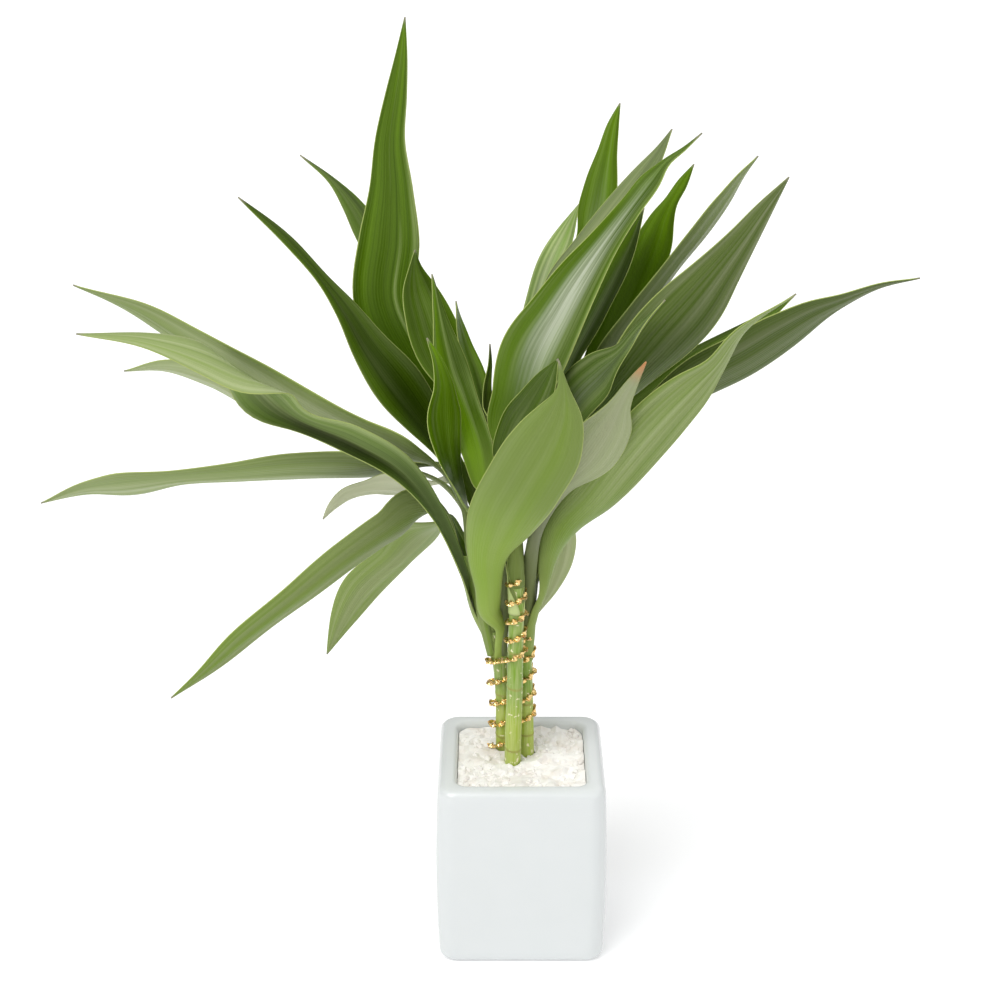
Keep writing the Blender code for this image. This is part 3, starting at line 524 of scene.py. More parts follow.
@dataclass
class FineLeaf:
    """One leaf's fine blade, on the midrib of the solid that it replaces."""

    node: str
    leaf: Leaf
    number: int

    def real_width(self, place: Vector, along: Vector, turn: float, width: float) -> float:
        """A blade's width along its curved section.

        Args:
            place: The midrib's place.
            along: The midrib's direction.
            turn: The blade's turn in degrees.
            width: The width seen across its run, in picture points.

        Returns:
            The width in millimetres.
        """
        across, _ = face_frame(along, math.radians(turn))
        run = (VIEW.seen(place + along) - VIEW.seen(place)).normalized()
        rate = abs((VIEW.seen(place + across) - VIEW.seen(place)).cross(run))
        channel = math.radians(self.leaf.channel)
        width = width / max(rate, VIEW.edge_on) * channel / math.sin(channel)
        return min(width, GROWTH.widest)

    def midrib(self) -> list[Spot]:
        """Places, turns and widths from the stalk to the tip.

        Returns:
            One (x, y, z, turn, width) for each spot that was read.
        """
        leaf = self.leaf
        places = [VIEW.placed(*spot[:3]) for spot in leaf.spots]
        widths = [spot[4] for spot in leaf.spots[:leaf.stalk]]
        for i in range(leaf.stalk, len(places) - 1):
            widths.append(self.real_width(places[i], heading(places, i), *leaf.spots[i][3:]))
        widths.append(GROWTH.tip_width)
        return [(*place, spot[3], width) for place, spot, width in zip(places, leaf.spots, widths)]

    def clasp(self, height: float) -> tuple[Vector, Vector, float, float]:
        """How the leaf lies on its cane at a height.

        Args:
            height: Height over the floor in millimetres.

        Returns:
            The cane's centre, the way out to the leaf, the leaf's turn in radians, the cane's radius.
        """
        middle, along, radius = CANES[self.leaf.cane].at(height)
        side = math.radians(self.leaf.side)
        outward = Vector((math.cos(side), math.sin(side), 0))
        outward = (outward - outward.dot(along) * along).normalized()
        _, up = face_frame(along, 0.0)
        turn = math.atan2(-outward.dot(along.cross(up)), -outward.dot(up))
        return middle, outward, turn, radius

    def route(self, rows: Iterable[float]) -> list[list[float]]:
        """The midrib with the base laid on its cane.

        Args:
            rows: Shares of the leaf's length.

        Returns:
            One (x, y, z, turn, half width) for each row.
        """
        knots = []
        for rise, lift, narrowing in GROWTH.base:
            middle, outward, turn, radius = self.clasp(self.leaf.foot + rise)
            reach = radius + GROWTH.gap + GROWTH.blade / 2
            half = reach * math.radians(GROWTH.clasp_angle)
            half += (GROWTH.neck_width / 2 - half) * narrowing
            knots.append([*(middle + outward * (reach + lift)), math.degrees(turn), half])
        for x, y, z, turn, width in self.midrib():
            while turn - knots[-1][3] > 180:
                turn -= 360
            while turn - knots[-1][3] < -180:
                turn += 360
            knots.append([x, y, z, turn, width / 2])
        return smooth_route(knots, rows)

    def wrap(self) -> list[BladeRow]:
        """The sheath below the leaf's foot, which closes round the cane.

        Returns:
            Its rows, from the lowest up to just below the foot.
        """
        leaf = self.leaf
        drop = min(GROWTH.wrap, max(leaf.foot - WRAP_FROM[leaf.cane], 1.0))
        full = GROWTH.gap + GROWTH.blade / 2
        rows = []
        for i in range(GROWTH.wrap_rows):
            share = i / GROWTH.wrap_rows
            middle, outward, turn, radius = self.clasp(leaf.foot - drop * (1 - share))
            reach = radius + GROWTH.wrap_gap + (full - GROWTH.wrap_gap) * smooth_step(share)
            closing = (GROWTH.wrap_angle - GROWTH.clasp_angle) * (1 - smooth_step(share))
            angle = math.radians(GROWTH.clasp_angle + closing)
            rows.append(BladeRow(middle + outward * reach, turn, reach * angle, 0.0, angle))
        return rows

    def marks(self, rows: Sequence[BladeRow], tone: float) -> dict[str, list[float]]:
        """What the finish reads at the blade's corners.

        Args:
            rows: The blade's rows.
            tone: The leaf's own random value.

        Returns:
            For each attribute's name, one value for each corner, row by row.
        """
        look = self.leaf.look
        runs = lengths(np.array([row.spot for row in rows]))
        marks: dict[str, list[float]] = {}
        for row, run in zip(rows, runs):
            past = smooth_step((row.share - GROWTH.neck_at) / SHADING.blade_over)
            dry = smooth_step(1 - (runs[-1] - run) / SHADING.dry_tip)
            dry *= max(look.rust, smooth_step(SHADING.dry_start - row.half / SHADING.dry_half))
            pale = smooth_step(1 - (run - runs[GROWTH.wrap_rows]) / SHADING.pale_stalk)
            # Painted shade on one half of the blade, fading out towards the tip
            painted_fold_shade = abs(look.painted_fold_shade) * past
            painted_fold_shade *= 1 - smooth_step((row.share - look.painted_shade_to) / SHADING.painted_shade_end + 1)
            # Painted light and shade on the half by the cane: shade below 1, light above
            late = smooth_step((row.share - SHADING.painted_root_light_from) / SHADING.painted_root_light_over)
            light = look.light * (look.root + (1 - look.root) * late)
            # A painted highlight stripe along the midline
            painted_highlight_stripe = look.painted_highlight_stripe * past
            painted_highlight_stripe *= 1 - smooth_step((row.share - SHADING.painted_highlight_from) / SHADING.painted_highlight_over)
            for column in range(GROWTH.across + 1):
                side = 2 * column / GROWTH.across - 1
                # The painted shade falls on one side of the midrib and dims the grey cast there as well
                dark = math.copysign(side, side * look.painted_fold_shade) * SHADING.painted_shade_edge + 0.5
                lit = 1 - painted_fold_shade * smooth_step(dark)
                # The light mark carries the leaf's brightness with its painted shade and painted light, and
                # the sheen mark carries painted highlights
                values = {"dry": dry, "rust": look.rust, "rich": look.rich, "pale": pale, "tone": tone,
                          "light": light * lit, "silver": look.silver * lit, "sheen": look.sheen * past,
                          "painted_highlight_stripe": painted_highlight_stripe * math.exp(-(side / SHADING.painted_highlight_half) ** 4)}
                for name, value in values.items():
                    marks.setdefault(name, []).append(value)
        return marks

    def build(self, finishes: Sequence[Material]) -> Item:
        """Lays a grid into the blade's shape and gives it its thickness.

        Args:
            finishes: The upper, under and margin finishes.

        Returns:
            The finished leaf.
        """
        draw = random.Random(self.number)
        shares = [(i / GROWTH.along) ** GROWTH.crowding for i in range(GROWTH.along + 1)]
        rows = self.wrap() + [BladeRow(Vector(values[:3]), math.radians(values[3]), values[4], share)
                              for values, share in zip(self.route(shares), shares)]
        spots = [row.spot for row in rows]
        last = len(rows) - 1
        phase = draw.uniform(0.0, math.tau)
        pleats = draw.uniform(*GROWTH.pleats)
        waves = draw.uniform(*GROWTH.waves)
        tone = draw.random()

        def place(side: float, share: float) -> Vector:
            """Places a corner of the blade.

            Args:
                side: From -1 to 1 across it.
                share: From 0 at the foot to 1 at the tip.

            Returns:
                The corner's place.
            """
            at = round(share * last)
            row = rows[at]
            across, up = face_frame(heading(spots, at), row.turn)
            angle = row.angle or math.radians(keyed(
                row.share, (0.0, GROWTH.clasp_angle), (GROWTH.neck_at, GROWTH.neck_angle),
                (GROWTH.blade_at, self.leaf.channel), (1.0, GROWTH.tip_angle)))
            radius = row.half / angle
            sag = GROWTH.centring * radius * (1 - math.cos(angle)) * smooth_step(row.share / GROWTH.neck_at)
            bend = side * angle
            relief = smooth_step((row.share - GROWTH.relief_from) / GROWTH.relief_over)
            relief *= smooth_step((1.0 - row.share) / GROWTH.relief_end)
            relief *= min(row.half / GROWTH.relief_half, 1)
            pleat = math.sin(math.pi * pleats * side + phase + GROWTH.pleat_drift * row.share)
            wave = math.sin(math.tau * waves * row.share + phase) * side ** 3
            rise = GROWTH.pleat * pleat + GROWTH.wave * wave
            rise -= GROWTH.groove * math.exp(-(side / GROWTH.groove_half) ** 2)
            rise = radius * (1 - math.cos(bend)) - sag + rise * relief
            return row.spot + across * radius * math.sin(bend) + up * rise

        item = sheet(self.node + "_blade", GROWTH.across, last, place)
        thick = item.vertex_groups.new(name="thick")
        for index in range(len(item.data.vertices)):
            side = 2 * (index % (GROWTH.across + 1)) / GROWTH.across - 1
            thick.add([index], 1 - abs(side) ** 3, "REPLACE")
        mark_points(item, self.marks(rows, tone))
        thicken(item, GROWTH.blade, finishes, thick.name, GROWTH.margin_share)
        item.vertex_groups.clear()
        # The hindmost leaf's wave stays within the plant's own depth.
        for vert in item.data.vertices:
            vert.co.y = min(vert.co.y, CAD_BOX[1][1])
        return item


@dataclass
class OldSheath:
    """A strip of an outer sheath that shows between the leaves, over the canes' tops.

    Each knot of its route is a place in picture points with a depth, and the width in millimetres.
    """

    name: str
    route: tuple[Spot, ...]
    light: float
    silver: float = 0.0
    sheen: float = 0.3
    tone: float = 0.4
    angle: float = 50.0
    blade: float = 0.6
    across: int = 8
    along: int = 40

    def build(self, finishes: Sequence[Material]) -> Item:
        """Lays the strip, with its outer face to the viewer.

        Args:
            finishes: The upper, under and margin finishes.

        Returns:
            The finished strip.
        """
        knots = [[*VIEW.placed(*knot[:3]), knot[3] / 2] for knot in self.route]
        rows = smooth_route(knots, np.linspace(0, 1, self.along + 1))
        spots = [Vector(row[:3]) for row in rows]
        angle = math.radians(self.angle)

        def place(side: float, share: float) -> Vector:
            """Places a corner of the strip.

            Args:
                side: From -1 to 1 across it.
                share: From 0 at the top to 1 at the bottom.

            Returns:
                The corner's place.
            """
            at = round(share * self.along)
            across, up = face_frame(heading(spots, at), math.pi)
            radius = rows[at][3] / angle
            rise = radius * (1 - math.cos(side * angle))
            return spots[at] + across * radius * math.sin(side * angle) + up * rise

        item = sheet(self.name, self.across, self.along, place)
        marks = {name: 0.0 for name in ("dry", "rust", "rich", "pale", "painted_highlight_stripe")}
        marks.update(tone=self.tone, light=self.light, silver=self.silver, sheen=self.sheen)
        mark_points(item, {name: [value] * len(item.data.vertices) for name, value in marks.items()})
        thicken(item, self.blade, finishes)
        return item


def select(*items: Item) -> None:
    """Selects only these objects, with the first one as the active one.

    Args:
        items: The objects, or none to leave nothing selected.
    """
    bpy.ops.object.select_all(action="DESELECT")
    for item in items:
        item.select_set(True)
    if items:
        bpy.context.view_layer.objects.active = items[0]


def link(name: str, data: bpy.types.ID) -> Item:
    """Puts a new object into the scene.

    Args:
        name: Its name.
        data: The mesh, light or camera that it shows.

    Returns:
        The object.
    """
    item = bpy.data.objects.new(name, data)
    bpy.context.scene.collection.objects.link(item)
    return item


def sheet(name: str, across: int, along: int, place: Callable[[float, float], Vector]) -> Item:
    """A grid primitive laid into shape.

    Args:
        name: The new object's name.
        across: Faces across the sheet.
        along: Faces along the sheet.
        place: Gives a corner's place in millimetres from its side, -1 to 1, and share, 0 to 1.

    Returns:
        The laid sheet, which is the active and only selected object.
    """
    select()
    bpy.ops.mesh.primitive_grid_add(x_subdivisions=across, y_subdivisions=along, size=2.0)
    item = bpy.context.object
    item.name = name
    item.data.name = name
    for vert in item.data.vertices:
        vert.co = place(vert.co.x, (vert.co.y + 1) / 2) * MM
    return item


def mark_points(item: Item, marks: dict[str, list[float]]) -> None:
    """Stores values at an object's corners for its finish to read.

    Args:
        item: The object.
        marks: For each attribute's name, one value for each corner.
    """
    for name, values in marks.items():
        item.data.attributes.new(name, "FLOAT", "POINT")
        item.data.attributes[name].data.foreach_set("value", values)


def apply_all(item: Item) -> None:
    """Applies all of an object's modifiers, in their order.

    Args:
        item: The object.
    """
    select(item)
    for modifier in list(item.modifiers):
        bpy.ops.object.modifier_apply(modifier=modifier.name)


def thicken(item: Item, thickness: float, finishes: Sequence[Material], group: str = "",
            thinnest: float = 0.0) -> None:
    """Gives a laid sheet its thickness and its finishes.

    Args:
        item: The sheet.
        thickness: Its full thickness in millimetres.
        finishes: The upper, under and margin finishes.
        group: The vertex group that thins it, if it has one.
        thinnest: The share of the thickness that is left where the group is 0.
    """
    wall = item.modifiers.new("thickness", "SOLIDIFY")
    wall.thickness = thickness * MM
    wall.offset = 0.0
    wall.vertex_group = group
    wall.thickness_vertex_group = thinnest
    wall.material_offset = Face.UNDER.value
    wall.material_offset_rim = Face.MARGIN.value
    for finish in finishes:
        item.data.materials.append(finish)
    apply_all(item)
    bpy.ops.object.shade_smooth()


def close_tube(item: Item) -> None:
    """Joins a rolled sheet along its seam and closes its two ends.

    Args:
        item: The sheet, which is the active object.
    """
    bpy.ops.object.mode_set(mode="EDIT")
    bpy.ops.mesh.select_all(action="SELECT")
    bpy.ops.mesh.remove_doubles(threshold=SEAM)
    bpy.ops.mesh.fill_holes(sides=0)
    bpy.ops.mesh.select_all(action="SELECT")
    bpy.ops.mesh.normals_make_consistent(inside=False)
    bpy.ops.object.mode_set(mode="OBJECT")
    bpy.ops.object.shade_smooth()


def hand_over(item: Item, slot: str, *nodes: str) -> None:
    """Puts a finished piece on the plant's body.

    Args:
        item: The piece.
        slot: The material slot that its finish belongs to; not used.
        nodes: The CAD nodes that it stands for.
    """
    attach(item, BODY)
    if nodes:
        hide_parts(*nodes)
    log.info("%s: %d faces", item.name, len(item.data.polygons))


def linear(colour: str) -> tuple[float, float, float, float]:
    """Turns an sRGB hex value to linear colour.

    Args:
        colour: Six hex digits after a hash.

    Returns:
        Red, green, blue and an alpha of 1.
    """
    parts = []
    for at in (1, 3, 5):
        value = int(colour[at:at + 2], 16) / 255
        parts.append(value / 12.92 if value <= 0.04045 else ((value + 0.055) / 1.055) ** 2.4)
    return (*parts, 1.0)


def add_node(tree: bpy.types.NodeTree, kind: str, inputs: Optional[dict] = None,
             **settings: object) -> bpy.types.Node:
    """Adds a node with its settings and links.

    Args:
        tree: The node tree.
        kind: The node's type.
        inputs: For each socket's name or index, a value or the socket that feeds it.
        settings: The node's own settings.

    Returns:
        The new node.
    """
    node = tree.nodes.new(kind)
    for key, value in settings.items():
        setattr(node, key, value)
    for key, value in (inputs or {}).items():
        if isinstance(value, bpy.types.NodeSocket):
            tree.links.new(value, node.inputs[key])
        else:
            node.inputs[key].default_value = value
    return node


@dataclass(frozen=True)
class Streaks:
    """Streaks along a blade: how many lie across it, how often they change along it, the detail of
    their noise, and its values where they start and where they are full."""

    across: float
    along: float
    detail: float
    low: float
    high: float


# Slow drifts of tone, fine veins, painted glossy highlights, painted shade in sunk grooves, raised ribs, and
# breaks in the painted highlight stripe
BROAD = Streaks(2.2, 1.3, 1.0, 0.36, 0.64)
FINE = Streaks(34.0, 1.6, 3.0, 0.35, 0.7)
PAINTED_GLINTS = Streaks(6.0, 1.2, 4.0, 0.47, 0.66)
PAINTED_GROOVE_SHADE = Streaks(24.0, 2.0, 2.0, 0.5, 0.78)
RIBS = Streaks(13.0, 0.25, 1.0, 0.45, 0.6)
PAINTED_HIGHLIGHT_BREAKS = Streaks(9.0, 2.6, 4.0, 0.28, 0.52)
# How far the leaves' patterns are spread in their noise
LEAF_SEEDS = 40.0


class Recipe:
    """A material that is being built up, one pattern after the other."""

    def __init__(self, name: str, roughness: float, ior: float = 1.5, metallic: float = 0.0) -> None:
        """Starts the material with its surface's own constants.

        Args:
            name: The real material's name.
            roughness: Its roughness where no pattern changes it.
            ior: Its index of refraction.
            metallic: 1 for a metal.
        """
        self.finish = bpy.data.materials.new(name)
        self.finish.use_nodes = True
        self.shader = self.finish.node_tree.nodes["Principled BSDF"]
        self.set(Roughness=roughness, IOR=ior, Metallic=metallic)

    def set(self, **values: object) -> None:
        """Sets constants of the surface; an underscore stands for a space in a name."""
        for name, value in values.items():
            self.shader.inputs[name.replace("_", " ")].default_value = value

    def feed(self, name: str, value: Socket) -> None:
        """Lets a pattern drive one of the surface's inputs."""
        self.finish.node_tree.links.new(value, self.shader.inputs[name])

    def node(self, kind: str, inputs: Optional[dict] = None, **settings: object) -> bpy.types.Node:
        """Adds a node to the material, as add_node does."""
        return add_node(self.finish.node_tree, kind, inputs, **settings)

    def place(self, base: Base) -> Socket:
        """Where a pattern lies on its piece."""
        return self.node("ShaderNodeTexCoord").outputs[base.value]

    def axis(self, place: Socket, axis: str) -> Socket:
        """One axis of a place."""
        return self.node("ShaderNodeSeparateXYZ", {0: place}).outputs[axis]

    def stretched(self, place: Socket, *scale: float) -> Socket:
        """A place with its axes stretched."""
        return self.node("ShaderNodeMapping", {"Vector": place, "Scale": scale}).outputs[0]

    def mark(self, name: str) -> Socket:
        """One of the values that are stored at the piece's corners."""
        return self.node("ShaderNodeAttribute", attribute_name=name).outputs["Fac"]

    def maths(self, operation: str, *values: object) -> Socket:
        """Works out a value from sockets and numbers."""
        return self.node("ShaderNodeMath", dict(enumerate(values)), operation=operation).outputs[0]

    def times(self, *values: object) -> Socket:
        """Multiplies values, from left to right.

        Args:
            values: Sockets and numbers, the first one a socket.

        Returns:
            The product.
        """
        product = values[0]
        for value in values[1:]:
            product = self.maths("MULTIPLY", product, value)
        return product

    def ranged(self, value: Socket, low: float = 0.0, high: float = 1.0, first: float = 0.0,
               last: float = 1.0) -> Socket:
        """Spreads a value's range from low to high over first to last, and holds it there."""
        return self.node("ShaderNodeMapRange", {"Value": value, "From Min": low, "From Max": high,
                                                "To Min": first, "To Max": last}).outputs[0]

    def mixed(self, share: object, first: object, second: object, blend: str = "MIX") -> Socket:
        """Mixes two colours.

        Args:
            share: How much of the second one shows.
            first: The first colour, a socket or a hex value.
            second: The second colour, a socket or a hex value.
            blend: How the two are blended.

        Returns:
            The mixed colour.
        """
        first, second = (linear(item) if isinstance(item, str) else item for item in (first, second))
        return self.node("ShaderNodeMix", {0: share, 6: first, 7: second}, data_type="RGBA",
                         blend_type=blend).outputs[2]

    def noise(self, place: Socket, scale: float, detail: float = 2.0) -> Socket:
        """Soft random clouds, 0 to 1."""
        return self.node("ShaderNodeTexNoise", {"Vector": place, "Scale": scale,
                                                "Detail": detail}).outputs["Fac"]

    def streaks(self, kind: Streaks) -> Socket:
        """Streaks along a leaf, which differ from leaf to leaf.

        Args:
            kind: The sort of streaks.

        Returns:
            Their strength, 0 to 1.
        """
        place = self.stretched(self.place(Base.UV), kind.across, kind.along, 1.0)
        seed = self.times(self.mark("tone"), LEAF_SEEDS)
        field = self.node("ShaderNodeTexNoise", {"Vector": place, "W": seed, "Scale": 1.0,
                                                 "Detail": kind.detail}, noise_dimensions="4D")
        return self.ranged(field.outputs["Fac"], kind.low, kind.high)

    def bump(self, height: Socket, strength: float, depth: float) -> None:
        """Raises the surface with a pattern, by up to a depth in millimetres."""
        self.feed("Normal", self.node("ShaderNodeBump", {"Height": height, "Strength": strength,
                                                         "Distance": depth * MM}).outputs[0])


@dataclass(frozen=True)
class LeafSkin:
    """A living leaf's waxy skin: satin, with fine veins that run its whole length.

    Deep and body are the greens that drift into each other. Glint and gleam are the colours of painted
    highlights, and groove the colour of painted shade in sunk grooves. A share is how strong a
    pattern's colour is. The pale margin runs from margin_from to the edge, in shares of the width off
    the midrib.
    """

    name: str
    deep: str
    body: str
    painted_glint: str
    vein: str
    silver: str = "#b0b09a"
    pale: str = "#93a555"
    margin: str = "#a7b568"
    dried: str = "#8f8a78"
    groove: str = "#5f7434"
    green: str = "#587813"
    rust: str = "#c58a5e"
    painted_gleam: str = "#d6dcc6"
    wax: str = "#e6f2b4"
    roughness: float = 0.42
    smoother: float = 0.06
    rougher: float = 0.08
    ior: float = 1.38
    veins: float = 22.0
    vein_depth: float = 0.05
    vein_share: float = 0.1
    vein_from: float = 0.2
    fine_share: float = 0.14
    painted_groove_shade_share: float = 0.35
    rib_share: float = 0.0
    rib_rise: float = 12.0
    relief: float = 0.35
    lining: float = 2.0
    unbroken: float = 0.45
    pale_share: float = 0.6
    margin_from: float = 0.484
    margin_full: float = 0.494

    def build(self) -> Material:
        """Builds the skin, from its broad streaks to its dried tip.

        Returns:
            The material.
        """
        skin = Recipe(self.name, self.roughness, self.ior)
        skin.set(Specular_Tint=linear(self.wax))
        across = skin.axis(skin.place(Base.UV), "X")
        sheen, pale = skin.mark("sheen"), skin.mark("pale")
        fine, ribs = skin.streaks(FINE), skin.streaks(RIBS)
        colour = skin.mixed(skin.streaks(BROAD), self.deep, self.body)
        colour = skin.mixed(skin.mark("rich"), colour, self.green)
        # Lines along the blade show as strongly as the sheen mark says, which also paints highlights, and on
        # the pale stalk
        lined = skin.maths("MULTIPLY_ADD", sheen, self.lining, pale)
        colour = skin.mixed(skin.times(fine, self.fine_share, lined), colour, self.vein)
        # Painted shade in sunk grooves
        colour = skin.mixed(skin.times(skin.streaks(PAINTED_GROOVE_SHADE), self.painted_groove_shade_share, lined), colour, self.groove)
        # Raised ribs, tinted with the painted highlight colour
        colour = skin.mixed(skin.times(ribs, self.rib_share, lined), colour, self.painted_glint)
        ridge = skin.maths("SINE", skin.times(across, math.tau * self.veins))
        colour = skin.mixed(skin.ranged(ridge, self.vein_from, 1.0, 0.0, self.vein_share), colour, self.vein)
        # Painted highlights: broad pale glossy streaks
        colour = skin.mixed(skin.times(sheen, skin.streaks(PAINTED_GLINTS)), colour, self.painted_glint)
        # A painted highlight stripe: a pale gleam along the midline, broken into streaks
        ragged = skin.times(skin.streaks(PAINTED_HIGHLIGHT_BREAKS), skin.ranged(fine, first=self.unbroken))
        colour = skin.mixed(skin.times(skin.mark("painted_highlight_stripe"), ragged), colour, self.painted_gleam)
        colour = skin.mixed(skin.mark("silver"), colour, self.silver)
        colour = skin.mixed(skin.times(pale, self.pale_share), colour, self.pale)
        # The leaf's brightness, with its painted fold shade and its painted light and shade by the cane
        colour = skin.mixed(1.0, colour, skin.mark("light"), "MULTIPLY")
        off = skin.maths("ABSOLUTE", skin.maths("SUBTRACT", across, 0.5))
        colour = skin.mixed(skin.ranged(off, self.margin_from, self.margin_full), colour, self.margin)
        tip = skin.mixed(skin.mark("rust"), self.dried, self.rust)
        skin.feed("Base Color", skin.mixed(skin.mark("dry"), colour, tip))
        rough = self.roughness - self.smoother, self.roughness + self.rougher
        skin.feed("Roughness", skin.ranged(fine, 0.0, 1.0, *rough))
        height = skin.maths("ADD", ridge, fine)
        height = skin.maths("MULTIPLY_ADD", ribs, self.rib_rise * self.rib_share, height)
        skin.bump(height, self.relief, self.vein_depth)
        return skin.finish


@dataclass(frozen=True)
class CaneBark:
    """A young cane's smooth bark: pale below, green above, with brown leaf scars and pale flecks.

    It turns green from the height low_at to high_at, in metres. Its depth is in millimetres.
    """

    name: str = "young_cane_bark"
    low: str = "#a6ba4a"
    high: str = "#7b9c38"
    scar: str = "#9a9450"
    wax: str = "#e6f2b4"
    fleck: str = "#ece6bf"
    low_at: float = 0.112
    high_at: float = 0.128
    roughness: float = 0.38
    ior: float = 1.4
    fibres: tuple[float, float, float] = (900.0, 900.0, 60.0)
    fibre_detail: float = 3.0
    fibre_range: tuple[float, float] = (0.35, 0.75)
    fibre_share: float = 0.35
    flecks: float = 420.0
    fleck_range: tuple[float, float] = (0.66, 0.7)
    relief: float = 0.4
    depth: float = 0.15

    def build(self) -> Material:
        """Builds the bark, from its fibres to its scars.

        Returns:
            The material.
        """
        bark = Recipe(self.name, self.roughness, self.ior)
        bark.set(Specular_Tint=linear(self.wax))
        place = bark.place(Base.OBJECT)
        fibre = bark.noise(bark.stretched(place, *self.fibres), 1.0, self.fibre_detail)
        lift = bark.ranged(bark.axis(place, "Z"), self.low_at, self.high_at)
        colour = bark.mixed(lift, self.low, self.high)
        colour = bark.mixed(bark.ranged(fibre, *self.fibre_range, 0.0, self.fibre_share), colour, self.fleck)
        flecks = bark.ranged(bark.noise(place, self.flecks), *self.fleck_range)
        colour = bark.mixed(flecks, colour, self.fleck)
        bark.feed("Base Color", bark.mixed(bark.mark("scar"), colour, self.scar))
        bark.bump(fibre, self.relief, self.depth)
        return bark.finish


@dataclass(frozen=True)
class Mottled:
    """A material whose colour drifts in soft clouds between two, with a fine relief.

    Clouds and grain are their patterns' fineness, each with the noise's detail; a creased grain has
    folds in place of crumbs. Relief is the grain's strength and depth its height in millimetres.
    """

    name: str
    first: str
    second: str
    roughness: float
    clouds: float
    detail: float = 2.0
    low: float = 0.0
    high: float = 1.0
    metallic: float = 0.0
    grain: float = 0.0
    grain_detail: float = 2.0
    creased: bool = False
    relief: float = 0.0
    depth: float = 0.0

    def build(self) -> Material:
        """Builds the clouds and the relief.

        Returns:
            The material.
        """
        recipe = Recipe(self.name, self.roughness, metallic=self.metallic)
        place = recipe.place(Base.OBJECT)
        share = recipe.ranged(recipe.noise(place, self.clouds, self.detail), self.low, self.high)
        recipe.feed("Base Color", recipe.mixed(share, self.first, self.second))
        if self.creased:
            creases = recipe.node("ShaderNodeTexVoronoi", {"Vector": place, "Scale": self.grain})
            recipe.bump(creases.outputs["Distance"], self.relief, self.depth)
        elif self.grain:
            recipe.bump(recipe.noise(place, self.grain, self.grain_detail), self.relief, self.depth)
        return recipe.finish


# Crinkled gold foil round a soft wire: a bright metal with small creases
GOLD_FOIL = Mottled("gold_foil", "#eeb14c", "#fff0b8", 0.24, 700.0, metallic=1.0, grain=1400.0, creased=True,
                    relief=0.6, depth=0.2)
# Crushed white marble: sugary broken faces, slightly warm, with faint grey clouds
MARBLE = Mottled("crushed_marble", "#f0eeea", "#e6e0d9", 0.62, 160.0, 3.0, 0.42, 0.7, grain=2200.0,
                 relief=0.4, depth=0.2)
# White glaze on cast stoneware: smooth and softly shining, a little greyer where it lies thinner
GLAZE = Mottled("white_glazed_stoneware", "#d9dcdc", "#d6dada", 0.24, 70.0, 1.0)
# Damp potting peat: dark brown crumbs and fibres
PEAT = Mottled("potting_peat", "#2a1d14", "#5a4330", 0.95, 500.0, 5.0, grain=500.0, grain_detail=5.0,
               relief=0.9, depth=1.0)


def quarter_turn(steps: int) -> list[tuple[float, float]]:
    """The sine and the cosine at even steps over a quarter turn."""
    return [(math.sin(turn), math.cos(turn)) for turn in np.linspace(0, math.pi / 2, steps)]


@dataclass
class Planter:
    """The square glazed planter, in millimetres."""

    width: float = 80.0
    belly: float = 82.0
    height: float = 94.5
    wall: float = 9.0
    floor: float = 8.0
    corner: float = 8.5
    edge: float = 4.2
    edge_corner: float = 0.6
    edge_steps: int = 8
    belly_steps: int = 19
    belly_clear: float = 0.05
    lip: float = 2.5
    lip_corner: float = 0.5
    lip_steps: int = 6
    inner_corner: float = 6.0
    inner_foot: float = 2.0
    inner_foot_corner: float = 5.0
    corner_steps: int = 12
    crease: float = 50.0

    def ring(self, half: float, corner: float, side: float) -> tuple[float, float]:
        """A spot on a square with rounded corners, seen from above.

        Args:
            half: Half of the square's width.
            corner: Its corners' radius.
            side: Place along it, from -1 to 1.

        Returns:
            The spot's x and y.
        """
        steps = 4 * (self.corner_steps + 1)
        step = round((side + 1) / 2 * steps) % steps
        quarter, part = divmod(step, self.corner_steps + 1)
        middle = math.radians(90 * quarter + 45)
        turn = math.radians(90 * quarter + 90 * part / self.corner_steps)
        x = math.copysign(half - corner, math.cos(middle)) + corner * math.cos(turn)
        y = math.copysign(half - corner, math.sin(middle)) + corner * math.sin(turn)
        return x, y

    def profile(self) -> list[tuple[float, float, float]]:
        """The wall's section from the base up the outside, over the rim and down inside.

        Returns:
            One (half width, corner radius, height) for each ring.
        """
        half, belly, inner = self.width / 2, self.belly / 2, self.width / 2 - self.wall
        rings = []
        for sine, cosine in quarter_turn(self.edge_steps):
            inset = self.edge * (1 - sine)
            height = self.edge * (1 - cosine)
            rings.append((half - inset, self.corner - inset * self.edge_corner, height))
        for share in np.linspace(self.belly_clear, 1 - self.belly_clear, self.belly_steps):
            height = self.edge + share * (self.height - 2 * self.edge)
            rings.append((half + (belly - half) * math.sin(math.pi * share), self.corner, height))
        for sine, cosine in quarter_turn(self.edge_steps):
            inset = self.edge * (1 - cosine)
            height = self.height - self.edge * (1 - sine)
            rings.append((half - inset, self.corner - inset * self.edge_corner, height))
        for sine, cosine in quarter_turn(self.lip_steps):
            inset = self.lip * (1 - sine)
            height = self.height - self.lip * (1 - cosine)
            rings.append((inner + inset, self.inner_corner + inset * self.lip_corner, height))
        rings.append((inner, self.inner_corner, self.floor + self.inner_foot))
        rings.append((inner - self.inner_foot, self.inner_foot_corner, self.floor))
        return rings

    def build(self, finish: Material) -> None:
        """Rolls and closes the wall, and hands it over.

        Args:
            finish: The wall's finish.
        """
        rings = self.profile()

        def place(side: float, share: float) -> Vector:
            """The place of a corner of the rolled sheet."""
            half, corner, height = rings[round(share * (len(rings) - 1))]
            return Vector((*self.ring(half, corner, side), height))

        item = sheet("glazed_planter", 4 * (self.corner_steps + 1), len(rings) - 1, place)
        close_tube(item)
        item.data.set_sharp_from_angle(angle=math.radians(self.crease))
        item.data.materials.append(finish)
        hand_over(item, "white_glaze", "planter")


